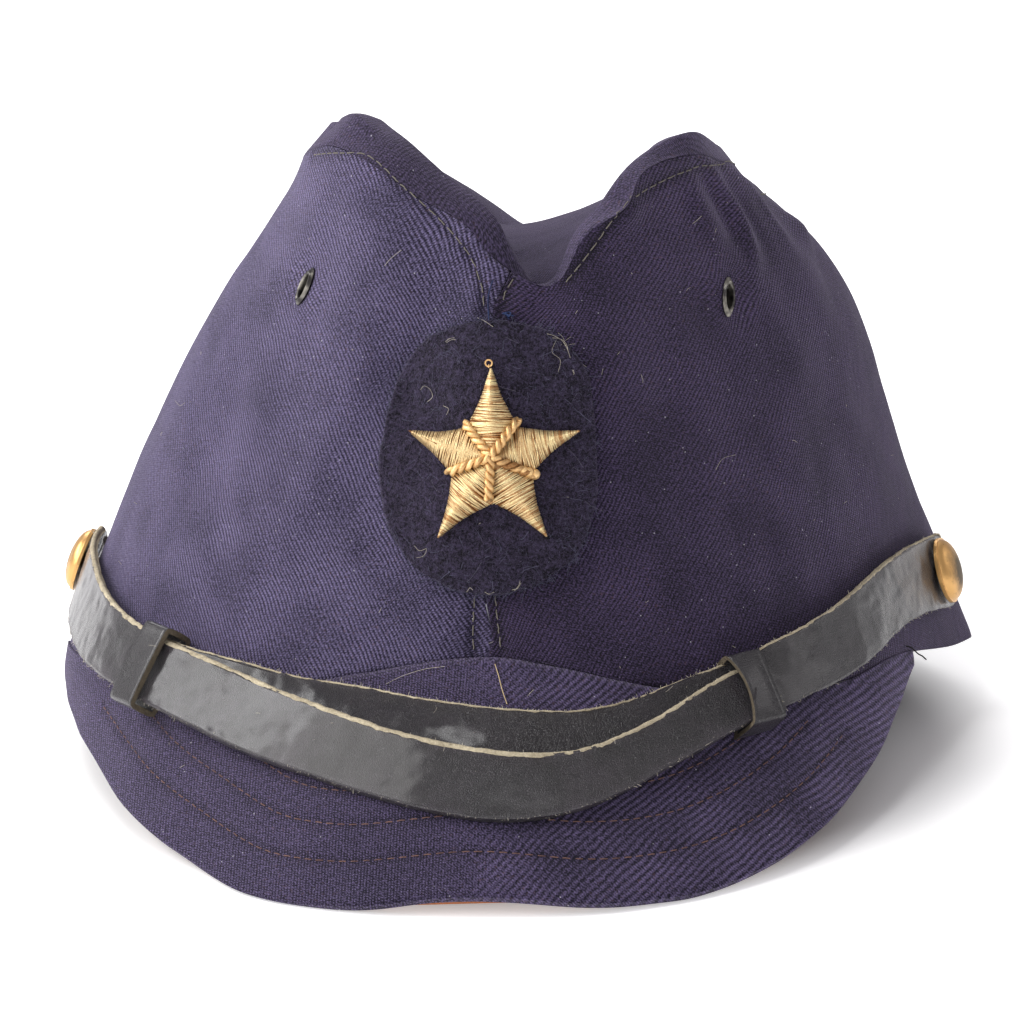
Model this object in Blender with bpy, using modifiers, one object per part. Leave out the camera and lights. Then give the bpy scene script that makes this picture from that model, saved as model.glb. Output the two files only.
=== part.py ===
"""A soft forage cap with a stitched visor, a felt badge with a raised star, and a leather chin strap.

The cap is shaped in the frame of its rim: X to the wearer's left, which is the right of a front
view, -Y forward and Z up from the rim. An empty then leans it back until it rests on the front of
its visor and the back of its rim. Lengths are in metres and angles in degrees.
"""

import math
from collections import namedtuple

import bmesh
import bpy
from mathutils import Matrix, Vector

# Crown
RIM_HALF_WIDTH = 0.097
RIM_HALF_LENGTH = 0.094
CROWN_HEIGHT = 0.110
CLOTH = 0.0018
SEAM_GAP = 0.0003
TIP_PINCH = 0.014
TIP_THINNEST = 0.25
TOP_KNOTS = [0.0, 0.38, 0.72, 1.0]
CREASE_EASE = 0.4

# Visor
VISOR_LENGTH = 0.054
VISOR_THICKNESS = 0.0019
VISOR_CAMBER = 0.0022
VISOR_LEAST = 0.0020
VISOR_LEFT_END = -88.0
VISOR_RIGHT_END = 75.0
LINING_THICKNESS = 0.0008
LINING_START = 0.0012
LINING_INSET = 0.0028
LINING_PROUD = 0.0002
LINING_SHOWS = 8.0

# Badge
PATCH_WIDTH = 0.044
PATCH_HEIGHT = 0.055
PATCH_RIGHT = 0.0015
PATCH_UP = 0.048
FELT = 0.0016
STAR_RADIUS = 0.0188
STAR_LOFT = 0.0024
STAR_EDGE = 0.0006
STAR_RIGHT = 0.0009
STAR_UP = -0.0008
STAR_SLIMNESS = 0.93
STAR_TURN = -1.3
STAR_NOTCH = 0.44
STAR_MIDDLE = 0.75
STAR_SWELL = 1.2
STAR_TAPER = 0.6
STAR_EYE = 0.3
STAR_VALLEY = 0.65
CORD_RADIUS = 0.0008
CORD_START = 0.0018
CORD_END = 0.0082
CORD_EASE = 0.0004
BADGE_SEAT = 0.0007

# Chin strap
STRAP_WIDTH = 0.0147
LEATHER = 0.0016
STRAP_TAIL = 5.5
FRONT_PLY_END = 35.0
BACK_PLY_END = -49.5
ROUND_END = [0.04, 0.15, 0.35, 0.65, 1.0]
KEEPER_LENGTH = 0.0082
KEEPER_LEATHER = 0.0012
KEEPER_EASE = 0.0007
KEEPER_SIDE_EASE = 0.0008
LEFT_KEEPER_ANGLE = -44.6
LEFT_KEEPER_TURN = -5.0
RIGHT_KEEPER_ANGLE = 32.8
RIGHT_KEEPER_TURN = 13.0

# Buttons
BUTTON_RADIUS = 0.0072
BUTTON_DOME = 0.0027
BUTTON_RIM = 0.0008
SHANK_RADIUS = 0.0016
BUTTON_EASE = 0.0005
LEFT_BUTTON_ANGLE = -93.0
RIGHT_BUTTON_ANGLE = 89.5

# Eyelets
EYELET_BORE = 0.0025
EYELET_WALL = 0.0006
EYELET_FLANGE = 0.0040
EYELET_ANGLE_LEFT = -41.5
EYELET_ANGLE_RIGHT = 44.0
EYELET_HEIGHT = 0.735

# Fits
CLEARANCE = 0.0003
HOLE_CLEARANCE = 0.0004
HOLE_DEPTH = 0.012
SETTLE = 0.0008

# Fineness
STATIONS = [0, 3, 6, 9, 13, 17, 21, 25, 30, 35, 40, 45, 50, 55, 61, 68, 76, 85, 94, 103]
STATIONS += [112, 122, 132, 142, 151, 159, 166, 173, 180]
SIDE_STEPS = 11
TOP_STEPS = 12
VISOR_STEPS = 5
VISOR_COLUMNS = 40
PATCH_SPOKES = 24
PATCH_RINGS = 6
STAR_SPOKES = 30
STAR_RINGS = 5
STRAP_STEPS = 3
STRAP_SPACING = 3.5
CORD_POINTS = 8
DOME_STEPS = 6
BUTTON_SIDES = 20
EYELET_SIDES = 16
HOLE_SIDES = 16
KEEPER_CORNER_STEPS = 3
SEARCH_STEPS = 6
ANGLE_STEP = 0.5
SHARE_STEP = 0.01
MERGE = 0.00001
MITRE_LIMIT = 1.3
SHARP_ANGLE = 40

# One row for each section round the crown, from the rear seam past the left side, the front and
# the right side to the rear again. Reach, swells and right are shares of RIM_HALF_WIDTH, back is a
# share of RIM_HALF_LENGTH, and lift and up are shares of CROWN_HEIGHT. The seam joins the side
# panels to the top panel, and the ridge is the crest of the top panel's roll beside it.
Section = namedtuple(
    "Section",
    "angle reach lift middle_swell upper_swell "
    "seam_right seam_back seam_up ridge_right ridge_back ridge_up",
)
SECTIONS = [
    Section(-180, 1.00, 0.000, 0.040, 0.000, 0.000, 0.872, 0.745, 0.000, 0.872, 0.745),
    Section(-160, 1.00, 0.000, 0.045, 0.010, -0.175, 0.777, 0.818, -0.134, 0.734, 0.855),
    Section(-140, 1.02, 0.000, 0.045, 0.015, -0.320, 0.585, 0.882, -0.247, 0.553, 0.927),
    Section(-115, 1.04, 0.004, 0.052, 0.010, -0.423, 0.298, 0.918, -0.330, 0.287, 0.973),
    Section(-90, 1.01, 0.010, 0.060, 0.012, -0.454, 0.000, 0.945, -0.361, 0.000, 1.009),
    Section(-70, 0.985, 0.006, 0.032, 0.004, -0.448, -0.255, 0.964, -0.351, -0.266, 1.036),
    Section(-52, 0.975, 0.000, -0.006, -0.024, -0.412, -0.489, 0.986, -0.299, -0.511, 1.064),
    Section(-38, 0.975, 0.000, -0.026, -0.035, -0.330, -0.660, 1.000, -0.227, -0.638, 1.041),
    Section(-25, 0.980, 0.010, -0.018, -0.015, -0.196, -0.777, 0.941, -0.113, -0.723, 0.964),
    Section(-12, 0.985, 0.050, -0.008, 0.000, -0.041, -0.840, 0.827, 0.010, -0.798, 0.864),
    Section(0, 0.985, 0.077, 0.012, 0.000, 0.038, -0.851, 0.796, 0.038, -0.851, 0.796),
    Section(6, 0.980, 0.070, 0.004, 0.000, 0.122, -0.842, 0.776, 0.108, -0.810, 0.786),
    Section(12, 0.975, 0.050, -0.006, 0.000, 0.216, -0.809, 0.864, 0.188, -0.750, 0.866),
    Section(25, 0.960, 0.010, -0.016, -0.010, 0.330, -0.734, 0.964, 0.300, -0.660, 0.985),
    Section(38, 0.950, 0.000, -0.022, -0.020, 0.423, -0.617, 0.982, 0.384, -0.565, 1.030),
    Section(52, 0.935, 0.000, -0.004, 0.012, 0.479, -0.457, 0.964, 0.412, -0.447, 1.018),
    Section(70, 0.905, 0.028, 0.034, 0.074, 0.500, -0.234, 0.941, 0.423, -0.234, 0.995),
    Section(90, 0.955, 0.012, 0.058, 0.096, 0.495, 0.000, 0.927, 0.412, 0.000, 0.977),
    Section(105, 1.046, 0.013, 0.050, 0.082, 0.474, 0.180, 0.912, 0.390, 0.172, 0.958),
    Section(140, 1.020, 0.000, 0.045, 0.030, 0.340, 0.585, 0.864, 0.278, 0.553, 0.900),
    Section(160, 1.000, 0.000, 0.045, 0.010, 0.175, 0.777, 0.809, 0.144, 0.734, 0.836),
    Section(180, 1.000, 0.000, 0.040, 0.000, 0.000, 0.872, 0.745, 0.000, 0.872, 0.745),
]

# The valley along the middle of the top panel, from the front notch to the rear seam, in the same
# shares. Slope is how far the valley's sides hang below a straight line to the ridges.
Crease = namedtuple("Crease", "angle right back up slope")
CREASE = [
    Crease(0, 0.038, -0.851, 0.796, 0.0),
    Crease(6, 0.088, -0.812, 0.768, 0.03),
    Crease(12, 0.096, -0.765, 0.752, 0.06),
    Crease(25, 0.088, -0.690, 0.748, 0.12),
    Crease(38, 0.065, -0.598, 0.764, 0.16),
    Crease(52, 0.030, -0.468, 0.785, 0.16),
    Crease(70, -0.010, -0.250, 0.812, 0.14),
    Crease(90, -0.041, 0.000, 0.818, 0.12),
    Crease(115, -0.041, 0.290, 0.818, 0.12),
    Crease(140, -0.020, 0.553, 0.804, 0.10),
    Crease(160, 0.000, 0.734, 0.786, 0.05),
    Crease(180, 0.000, 0.872, 0.745, 0.0),
]

# Soft folds of the side panels, each along a line from one angle and height share to another.
# Height is a share of CLOTH, outward if positive, and width a share of CROWN_HEIGHT.
Fold = namedtuple("Fold", "from_angle from_up to_angle to_up width height")
FOLDS = [
    Fold(40, 0.99, 56, 0.74, 0.040, 0.9),
    Fold(47, 0.97, 62, 0.76, 0.034, -1.1),
    Fold(54, 0.98, 70, 0.78, 0.040, 0.9),
    Fold(62, 0.95, 76, 0.80, 0.036, -0.8),
    Fold(-31, 0.92, -25, 0.58, 0.085, 1.1),
    Fold(-19, 0.86, -17, 0.60, 0.060, -1.2),
    Fold(-24, 0.50, -36, 0.12, 0.090, 0.7),
    Fold(-58, 0.88, -66, 0.80, 0.060, -1.0),
    Fold(-76, 0.74, -70, 0.42, 0.090, 0.8),
    Fold(22, 0.88, 30, 0.62, 0.070, -0.8),
    Fold(118, 0.85, 104, 0.40, 0.100, -1.2),
    Fold(150, 0.75, 142, 0.25, 0.110, 1.1),
    Fold(-122, 0.82, -110, 0.38, 0.100, -1.2),
    Fold(-152, 0.70, -146, 0.22, 0.110, 1.1),
]

# The visor's length from its seam, as a share of VISOR_LENGTH, and its slope below the rim.
Ray = namedtuple("Ray", "angle length slope")
VISOR = [
    Ray(-88, 0.055, 80),
    Ray(-82, 0.10, 78),
    Ray(-70, 0.21, 75),
    Ray(-60, 0.30, 70),
    Ray(-50, 0.415, 64),
    Ray(-40, 0.57, 57),
    Ray(-30, 0.72, 55),
    Ray(-20, 0.92, 53),
    Ray(-10, 1.01, 53),
    Ray(0, 1.00, 53),
    Ray(10, 0.995, 52.5),
    Ray(20, 0.895, 52.5),
    Ray(30, 0.74, 53.5),
    Ray(40, 0.555, 57),
    Ray(50, 0.365, 63),
    Ray(60, 0.235, 70),
    Ray(69, 0.148, 76),
    Ray(75, 0.055, 80),
]

# The outline of the felt patch, clockwise from its top: reach is a share of half its height. Its
# own width is PATCH_SLIMNESS of its height.
PATCH_SLIMNESS = 0.785
Reach = namedtuple("Reach", "angle reach")
PATCH = [
    Reach(0, 0.995),
    Reach(36, 0.990),
    Reach(54, 0.870),
    Reach(74, 0.750),
    Reach(95, 0.755),
    Reach(120, 0.845),
    Reach(140, 0.950),
    Reach(178, 0.990),
    Reach(214, 0.955),
    Reach(235, 0.870),
    Reach(260, 0.795),
    Reach(286, 0.790),
    Reach(309, 0.865),
    Reach(330, 0.965),
    Reach(360, 0.995),
]

# The strap's two plies. Down is how far the middle of the ply lies below the seam of the visor, as
# a share of VISOR_LENGTH, and wide is its width as a share of STRAP_WIDTH; high and low are how far
# its upper and lower edge stand off the cloth, and arch how far its middle bows out, as shares of
# LEATHER.
Ply = namedtuple("Ply", "angle down wide high low arch")
FRONT_PLY = [
    Ply(-97, -0.305, 1.00, 0.6, 0.5, 0.0),
    Ply(-91, -0.288, 1.00, 0.6, 0.5, 0.0),
    Ply(-85, -0.262, 1.00, 0.6, 0.5, 0.0),
    Ply(-78, -0.225, 1.00, 0.7, 0.7, 0.0),
    Ply(-68, -0.162, 0.98, 1.3, 1.3, 0.0),
    Ply(-58, -0.102, 0.93, 2.5, 2.5, 0.0),
    Ply(-50, -0.046, 0.89, 3.1, 3.1, 0.0),
    Ply(-42, 0.020, 0.89, 3.1, 3.0, 0.0),
    Ply(-35, 0.088, 0.93, 2.9, 2.4, 0.0),
    Ply(-28, 0.165, 0.94, 2.8, 1.7, 0.0),
    Ply(-21, 0.266, 0.91, 2.8, 0.9, 0.0),
    Ply(-13, 0.405, 0.87, 2.6, 0.4, 0.1),
    Ply(-7, 0.503, 0.87, 2.4, 0.3, 0.1),
    Ply(0, 0.588, 0.90, 2.3, 0.3, 0.1),
    Ply(6, 0.592, 0.86, 2.3, 0.4, 0.1),
    Ply(12, 0.508, 0.73, 2.3, 1.3, 0.1),
    Ply(19, 0.345, 0.67, 2.4, 2.5, 0.05),
    Ply(26, 0.190, 0.70, 3.0, 3.1, 0.0),
    Ply(31, 0.110, 0.74, 3.4, 3.4, 0.0),
    Ply(36, 0.045, 0.76, 3.4, 3.3, 0.0),
    Ply(42, -0.040, 0.76, 3.1, 3.1, 0.0),
]
BACK_PLY = [
    Ply(-52, -0.060, 0.95, 1.8, 1.8, 0.0),
    Ply(-42, 0.008, 0.92, 1.8, 1.8, 0.0),
    Ply(-36, 0.040, 0.95, 1.4, 0.9, 0.0),
    Ply(-29, 0.078, 0.97, 1.0, 0.4, 0.1),
    Ply(-15, 0.219, 1.00, 0.6, 0.3, 0.45),
    Ply(-6, 0.332, 1.00, 0.5, 0.3, 0.55),
    Ply(1, 0.392, 1.00, 0.5, 0.3, 0.55),
    Ply(10, 0.360, 0.96, 0.5, 0.3, 0.55),
    Ply(18, 0.248, 0.93, 0.6, 0.3, 0.4),
    Ply(25, 0.125, 0.91, 0.9, 0.8, 0.1),
    Ply(31, 0.057, 0.88, 1.7, 1.7, 0.0),
    Ply(36, -0.004, 0.87, 1.8, 1.8, 0.0),
    Ply(42, -0.070, 0.88, 1.8, 1.8, 0.0),
    Ply(52, -0.150, 0.93, 1.3, 1.2, 0.0),
    Ply(70, -0.226, 0.94, 0.9, 0.8, 0.0),
    Ply(84, -0.284, 1.01, 0.8, 0.7, 0.0),
    Ply(91, -0.290, 1.09, 1.0, 0.7, 0.0),
    Ply(97, -0.288, 1.16, 1.0, 0.7, 0.0),
]


class Curve:
    """A smooth curve through one column of a table, over the column that its rows are sorted by."""

    def __init__(self, rows, column):
        self.knots = [row.angle for row in rows]
        self.values = [getattr(row, column) for row in rows]
        chords = []
        for index in range(len(rows) - 1):
            run = self.knots[index + 1] - self.knots[index]
            chords.append((self.values[index + 1] - self.values[index]) / run)
        self.slopes = [chords[0]]
        for before, after in zip(chords, chords[1:]):
            self.slopes.append((before + after) / 2)
        self.slopes.append(chords[-1])

    def __call__(self, at):
        index = 0
        while index < len(self.knots) - 2 and at > self.knots[index + 1]:
            index += 1
        run = self.knots[index + 1] - self.knots[index]
        share = min(max((at - self.knots[index]) / run, 0.0), 1.0)
        start, end = self.values[index], self.values[index + 1]
        leave, arrive = self.slopes[index] * run, self.slopes[index + 1] * run
        ease = share * share * (3 - 2 * share)
        return (
            start
            + (end - start) * ease
            + leave * share * (1 - share) ** 2
            - arrive * share * share * (1 - share)
        )


class Table:
    """Every column of a table as a smooth curve."""

    def __init__(self, rows):
        for column in rows[0]._fields[1:]:
            setattr(self, column, Curve(rows, column))


SECTION = Table(SECTIONS)
VALLEY = Table(CREASE)
RAY = Table(VISOR)
PATCH_REACH = Curve(PATCH, "reach")


def outward(angle):
    """The level direction that points away from the head at an angle from the front."""
    turn = math.radians(angle)
    return Vector((math.sin(turn), -math.cos(turn), 0.0))


def rim_point(angle):
    """A point of the crown's lower edge."""
    turn = math.radians(angle)
    return Vector(
        (
            RIM_HALF_WIDTH * SECTION.reach(angle) * math.sin(turn),
            -RIM_HALF_LENGTH * math.cos(turn),
            CROWN_HEIGHT * SECTION.lift(angle),
        )
    )


def crown_place(right, back, up):
    """A point from its shares of the crown's half width, half length and height."""
    return Vector((right * RIM_HALF_WIDTH, back * RIM_HALF_LENGTH, up * CROWN_HEIGHT))


def seam_point(angle):
    """A point of the seam between a side panel and the top panel."""
    return crown_place(
        SECTION.seam_right(angle), SECTION.seam_back(angle), SECTION.seam_up(angle)
    )


def ridge_point(angle):
    """A point of the crest of the top panel's roll."""
    return crown_place(
        SECTION.ridge_right(angle), SECTION.ridge_back(angle), SECTION.ridge_up(angle)
    )


def fold_height(angle, share):
    """How far the folds push the side panels out at an angle and a share of the height."""
    arc = math.radians(1) * RIM_HALF_WIDTH * (1 - share / 2)
    spot = Vector((angle * arc, share * CROWN_HEIGHT))
    height = 0.0
    for fold in FOLDS:
        start = Vector((fold.from_angle * arc, fold.from_up * CROWN_HEIGHT))
        run = Vector((fold.to_angle * arc, fold.to_up * CROWN_HEIGHT)) - start
        along = min(max((spot - start).dot(run) / run.length_squared, 0.0), 1.0)
        away = (spot - start - run * along).length / (fold.width * CROWN_HEIGHT)
        height += fold.height * CLOTH * math.exp(-away * away)
    return height


def side_point(angle, share):
    """A point of the side panels, from the rim at share 0 to the top seam at share 1."""
    swell = RIM_HALF_WIDTH * (
        SECTION.middle_swell(angle) * math.sin(math.pi * share)
        + SECTION.upper_swell(angle) * math.sin(math.pi * share**3)
    )
    fade = math.sin(math.pi * min(max(share, 0.0), 1.0)) ** 0.5
    push = swell + fold_height(angle, share) * fade
    return rim_point(angle).lerp(seam_point(angle), share) + outward(angle) * push


def top_point(angle, across):
    """A point of the top panel: across runs from the left seam at -1 to the right seam at 1."""
    side = -1 if across < 0 else 1
    seam = seam_point(side * angle)
    ridge = ridge_point(side * angle)
    crease = crown_place(VALLEY.right(angle), VALLEY.back(angle), VALLEY.up(angle))
    hang = VALLEY.slope(angle) * (ridge.z - crease.z)
    middle = ridge.lerp(crease, 0.5) - Vector((0.0, 0.0, hang))
    return Spline(TOP_KNOTS, [crease, middle, ridge, seam], CREASE_EASE).at(abs(across))


class Spline:
    """A smooth path through points at given shares of its length."""

    def __init__(self, knots, points, start_ease=1.0):
        self.knots = knots
        self.points = points
        chords = []
        for index in range(len(points) - 1):
            run = knots[index + 1] - knots[index]
            chords.append((points[index + 1] - points[index]) / run)
        first = chords[0].copy()
        first.z *= start_ease
        self.slopes = [first]
        for before, after in zip(chords, chords[1:]):
            self.slopes.append((before + after) / 2)
        self.slopes.append(chords[-1])

    def at(self, share):
        index = 0
        while index < len(self.knots) - 2 and share > self.knots[index + 1]:
            index += 1
        run = self.knots[index + 1] - self.knots[index]
        part = min(max((share - self.knots[index]) / run, 0.0), 1.0)
        ease = part * part * (3 - 2 * part)
        path = self.points[index].lerp(self.points[index + 1], ease)
        leave = self.slopes[index] * (run * part * (1 - part) ** 2)
        arrive = self.slopes[index + 1] * (run * part * part * (1 - part))
        return path + leave - arrive


def visor_point(angle, down):
    """A point of the visor's upper side, down metres below its seam along the slope."""
    length = VISOR_LENGTH * RAY.length(angle)
    slope = math.radians(RAY.slope(angle))
    level = rim_normal(angle)
    along = level * math.cos(slope) - Vector((0.0, 0.0, math.sin(slope)))
    up = level * math.sin(slope) + Vector((0.0, 0.0, math.cos(slope)))
    share = min(max(down / length, 0.0), 1.0)
    camber = VISOR_CAMBER * RAY.length(angle) * math.sin(math.pi * share)
    return rim_point(angle) + along * down + up * camber


def rim_normal(angle):
    """The level direction square to the rim's outline, away from the head."""
    run = rim_point(angle + ANGLE_STEP) - rim_point(angle - ANGLE_STEP)
    run.z = 0.0
    return run.normalized().cross(Vector((0.0, 0.0, 1.0)))


def surface_frame(point, first, second):
    """Axes on a surface point(first, second): across, up the surface and straight out of it."""
    right = point(first + ANGLE_STEP, second) - point(first - ANGLE_STEP, second)
    up = point(first, second + SHARE_STEP) - point(first, second - SHARE_STEP)
    out = right.cross(up).normalized()
    right = up.cross(out).normalized()
    up = out.cross(right)
    frame = Matrix((right, up, out)).transposed().to_4x4()
    frame.translation = point(first, second)
    return frame


def clear_scene():
    for item in list(bpy.data.objects):
        bpy.data.objects.remove(item, do_unlink=True)


def new_collection(name):
    collection = bpy.data.collections.new(name)
    bpy.context.scene.collection.children.link(collection)
    return collection


def finish(name, colour, roughness, metallic=0.0):
    """A material of one even finish."""
    material = bpy.data.materials.new(name)
    material.use_nodes = True
    shader = material.node_tree.nodes["Principled BSDF"]
    shader.inputs["Base Color"].default_value = (*colour, 1.0)
    shader.inputs["Roughness"].default_value = roughness
    shader.inputs["Metallic"].default_value = metallic
    return material


clear_scene()
CAP = new_collection("forage_cap")
CUTTERS = new_collection("cutters")
REST = bpy.data.objects.new("rest_pose", None)
CAP.objects.link(REST)

NAVY_TWILL = finish("navy_twill", (0.060, 0.058, 0.115), 0.85)
TAN_LINING = finish("tan_lining", (0.560, 0.200, 0.060), 0.70)
BLACK_FELT = finish("black_felt", (0.016, 0.016, 0.024), 0.95)
GOLD_THREAD = finish("gold_thread", (0.640, 0.370, 0.120), 0.40, 0.75)
BLACK_LEATHER = finish("black_leather", (0.035, 0.036, 0.038), 0.42)
AGED_BRASS = finish("aged_brass", (0.520, 0.310, 0.090), 0.38, 0.90)
BLACKENED_METAL = finish("blackened_metal", (0.060, 0.060, 0.060), 0.40, 0.90)


def add_piece(name, data, material, frame=None):
    """An object for one piece of the cap, under the empty that sets the cap down."""
    piece = bpy.data.objects.new(name, data)
    data.materials.append(material)
    CAP.objects.link(piece)
    piece.parent = REST
    if frame is not None:
        piece.matrix_local = frame
    return piece


def mesh_of(name, shape):
    """The mesh of a finished shape, shaded smooth between its sharp edges."""
    bmesh.ops.recalc_face_normals(shape, faces=shape.faces)
    mesh = bpy.data.meshes.new(name)
    shape.to_mesh(mesh)
    shape.free()
    mesh.shade_smooth()
    mesh.set_sharp_from_angle(angle=math.radians(SHARP_ANGLE))
    return mesh


def spread_sheet(shape, columns, rows, place):
    """Adds a grid of columns by rows faces, moved to place(column share, row share).

    It gives back the two shares of each point that is left once equal points are merged.
    """
    grid = bmesh.ops.create_grid(shape, x_segments=columns, y_segments=rows, size=0.5)
    shares = {vert: (vert.co.x + 0.5, vert.co.y + 0.5) for vert in grid["verts"]}
    for vert, (across, along) in shares.items():
        vert.co = place(across, along)
    bmesh.ops.remove_doubles(shape, verts=shape.verts, dist=MERGE)
    bmesh.ops.dissolve_degenerate(shape, edges=shape.edges, dist=MERGE)
    return {vert: pair for vert, pair in shares.items() if vert.is_valid}


def thicken(shape, under):
    """Makes a wall of an open sheet: under holds each point's place on the wall's other face."""
    loops = [loop for face in shape.faces for loop in face.loops]
    border = [(loop.vert, loop.link_loop_next.vert) for loop in loops if loop.edge.is_boundary]
    faces = [list(face.verts) for face in shape.faces]
    lower = {vert: shape.verts.new(under[vert]) for vert in list(shape.verts)}
    for verts in faces:
        shape.faces.new([lower[vert] for vert in reversed(verts)])
    for start, end in border:
        shape.faces.new([end, start, lower[start], lower[end]])


def wall(columns, rows, upper, lower):
    """A closed wall between two surfaces, each a function of the same two shares."""
    shape = bmesh.new()
    shares = spread_sheet(shape, columns, rows, upper)
    thicken(shape, {vert: lower(*pair) for vert, pair in shares.items()})
    return shape


def station_angle(share):
    """The angle of the station at a share of the way from the front to the rear."""
    return STATIONS[round(share * (len(STATIONS) - 1))]


def crown_sheet():
    """The crown's whole outer surface, with the number of its panel on each face."""
    places = [
        lambda across, along: side_point(-station_angle(across), along),
        lambda across, along: side_point(station_angle(across), along),
        lambda across, along: top_point(station_angle(across), 2 * along - 1),
    ]
    shape = bmesh.new()
    panel = shape.faces.layers.int.new("panel")
    for number, place in enumerate(places):
        before = len(shape.faces)
        rows = TOP_STEPS if number == 2 else SIDE_STEPS
        spread_sheet(shape, len(STATIONS) - 1, rows, place)
        shape.faces.ensure_lookup_table()
        for face in shape.faces[before:]:
            face[panel] = number
    bmesh.ops.recalc_face_normals(shape, faces=shape.faces)
    if sum(face.normal.dot(face.calc_center_median()) for face in shape.faces) < 0:
        bmesh.ops.reverse_faces(shape, faces=shape.faces)
    shape.normal_update()
    return shape, panel


def tip_share(point):
    """The top panel's share of its thickness: it is pressed thin where it ends in a point."""
    tip = min((point - seam_point(0)).length, (point - seam_point(180)).length)
    return min(max(tip / TIP_PINCH, TIP_THINNEST), 1.0)


def crown_panels():
    """The three panels as walls that meet squarely at their seams, a seam gap apart."""
    whole, panel = crown_sheet()
    rim = {vert for edge in whole.edges if edge.is_boundary for vert in edge.verts}
    inner = {}
    for vert in whole.verts:
        depth = CLOTH * min(vert.calc_shell_factor(), MITRE_LIMIT)
        inward = -vert.normal
        if vert in rim:
            inward = Vector((inward.x, inward.y, 0.0)).normalized()
            depth = CLOTH
        if {0, 1} <= {face[panel] for face in vert.link_faces}:
            inward = Vector((0.0, inward.y, inward.z)).normalized()
        inner[vert] = vert.co + inward * depth
    for number, name in enumerate(["crown_side_left", "crown_side_right", "crown_top"]):
        own = [face for face in whole.faces if face[panel] == number]
        shape = bmesh.new()
        copies = {}
        under = {}
        for vert in {vert: None for face in own for vert in face.verts}:
            near = [face for face in vert.link_faces if face[panel] == number]
            shift = Vector()
            if len(near) < len(vert.link_faces):
                middle = sum((face.calc_center_median() for face in near), Vector())
                shift = (middle / len(near) - vert.co).normalized() * SEAM_GAP / 2
            if vert in rim:
                shift.z = 0.0
            depth = inner[vert] - vert.co
            if name == "crown_top":
                depth *= tip_share(vert.co)
            copies[vert] = shape.verts.new(vert.co + shift)
            under[copies[vert]] = vert.co + shift + depth
        for face in own:
            shape.faces.new([copies[vert] for vert in face.verts])
        thicken(shape, under)
        yield name, shape
    whole.free()


def visor_up(angle):
    """The direction square to the visor's upper side."""
    slope = math.radians(RAY.slope(angle))
    return rim_normal(angle) * math.sin(slope) + Vector((0.0, 0.0, math.cos(slope)))


def visor_wall(start, inset, depth, thickness):
    """A wall of the visor that begins start from the seam and depth under the upper side."""

    def place(across, along, under):
        angle = VISOR_LEFT_END + across * (VISOR_RIGHT_END - VISOR_LEFT_END)
        end = max(VISOR_LENGTH * RAY.length(angle) - inset(angle), start + VISOR_LEAST)
        down = start + (end - start) * along
        return visor_point(angle, down) - visor_up(angle) * under

    return wall(
        VISOR_COLUMNS,
        VISOR_STEPS,
        lambda across, along: place(across, along, depth),
        lambda across, along: place(across, along, depth + thickness),
    )


def lining_inset(angle):
    """How far the lining stays back from the visor's edge: it shows at the middle alone."""
    return LINING_INSET * (1 - math.exp(-((angle / LINING_SHOWS) ** 2))) - LINING_PROUD


def lean_angle():
    """How far the cap leans back to rest on the front of its visor and the back of its rim."""
    lean = 0.0
    for step in range(VISOR_COLUMNS + 1):
        angle = VISOR_LEFT_END + step / VISOR_COLUMNS * (VISOR_RIGHT_END - VISOR_LEFT_END)
        edge = visor_point(angle, VISOR_LENGTH * RAY.length(angle))
        edge -= visor_up(angle) * VISOR_THICKNESS
        lean = max(lean, math.atan2(-edge.z, RIM_HALF_LENGTH - edge.y))
    return lean


LEAN = lean_angle()


def settle(shape):
    """Flattens what would be under the floor that the cap stands on."""
    for vert in shape.verts:
        floor = (vert.co.y - RIM_HALF_LENGTH) * math.tan(LEAN) + SETTLE / math.cos(LEAN)
        vert.co.z = max(vert.co.z, floor)


def front_spot(right, up):
    """The angle and height share at which the crown's front has a place in a front view."""
    angle, share = 0.0, 0.5
    for _ in range(SEARCH_STEPS):
        here = side_point(angle, share)
        by_angle = (side_point(angle + ANGLE_STEP, share) - here) / ANGLE_STEP
        by_share = (side_point(angle, share + SHARE_STEP) - here) / SHARE_STEP
        miss_x, miss_z = right - here.x, up - here.z
        scale = by_angle.x * by_share.z - by_angle.z * by_share.x
        angle += (miss_x * by_share.z - miss_z * by_share.x) / scale
        share += (miss_z * by_angle.x - miss_x * by_angle.z) / scale
    return angle, share


def badge_point(right, up, out):
    """A point over the crown's front, from its place in a front view of the badge."""
    frame = surface_frame(side_point, *front_spot(PATCH_RIGHT + right, PATCH_UP + up))
    return frame @ Vector((0.0, 0.0, out))


def patch_place(turn, along, out):
    """A point of the felt patch, along a share of the way from its middle to its edge."""
    bearing = math.radians(360 * turn)
    reach = along * PATCH_REACH(360 * turn) * PATCH_HEIGHT / 2
    return badge_point(
        PATCH_WIDTH / PATCH_HEIGHT / PATCH_SLIMNESS * reach * math.sin(bearing),
        reach * math.cos(bearing),
        out,
    )


def star_edge(turn):
    """The star's outline: its radius at a share of a full turn from the top arm."""
    off = abs((turn * 5 + 0.5) % 1 - 0.5) * math.radians(72)
    notch = math.radians(36)
    far, near = STAR_RADIUS, STAR_RADIUS * STAR_NOTCH
    return far * near * math.sin(notch) / (far * math.sin(off) + near * math.sin(notch - off))


def star_height(turn, along):
    """The star's height over its base: padded arms with a valley between each two."""
    off = abs((turn * 5 + 0.5) % 1 - 0.5) * 2
    profile = (1 - along) ** STAR_TAPER * (STAR_MIDDLE + STAR_SWELL * along)
    valley = min(along / STAR_EYE, 1.0) * STAR_VALLEY * off * off
    return STAR_EDGE + STAR_LOFT * profile * (1 - valley)


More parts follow.
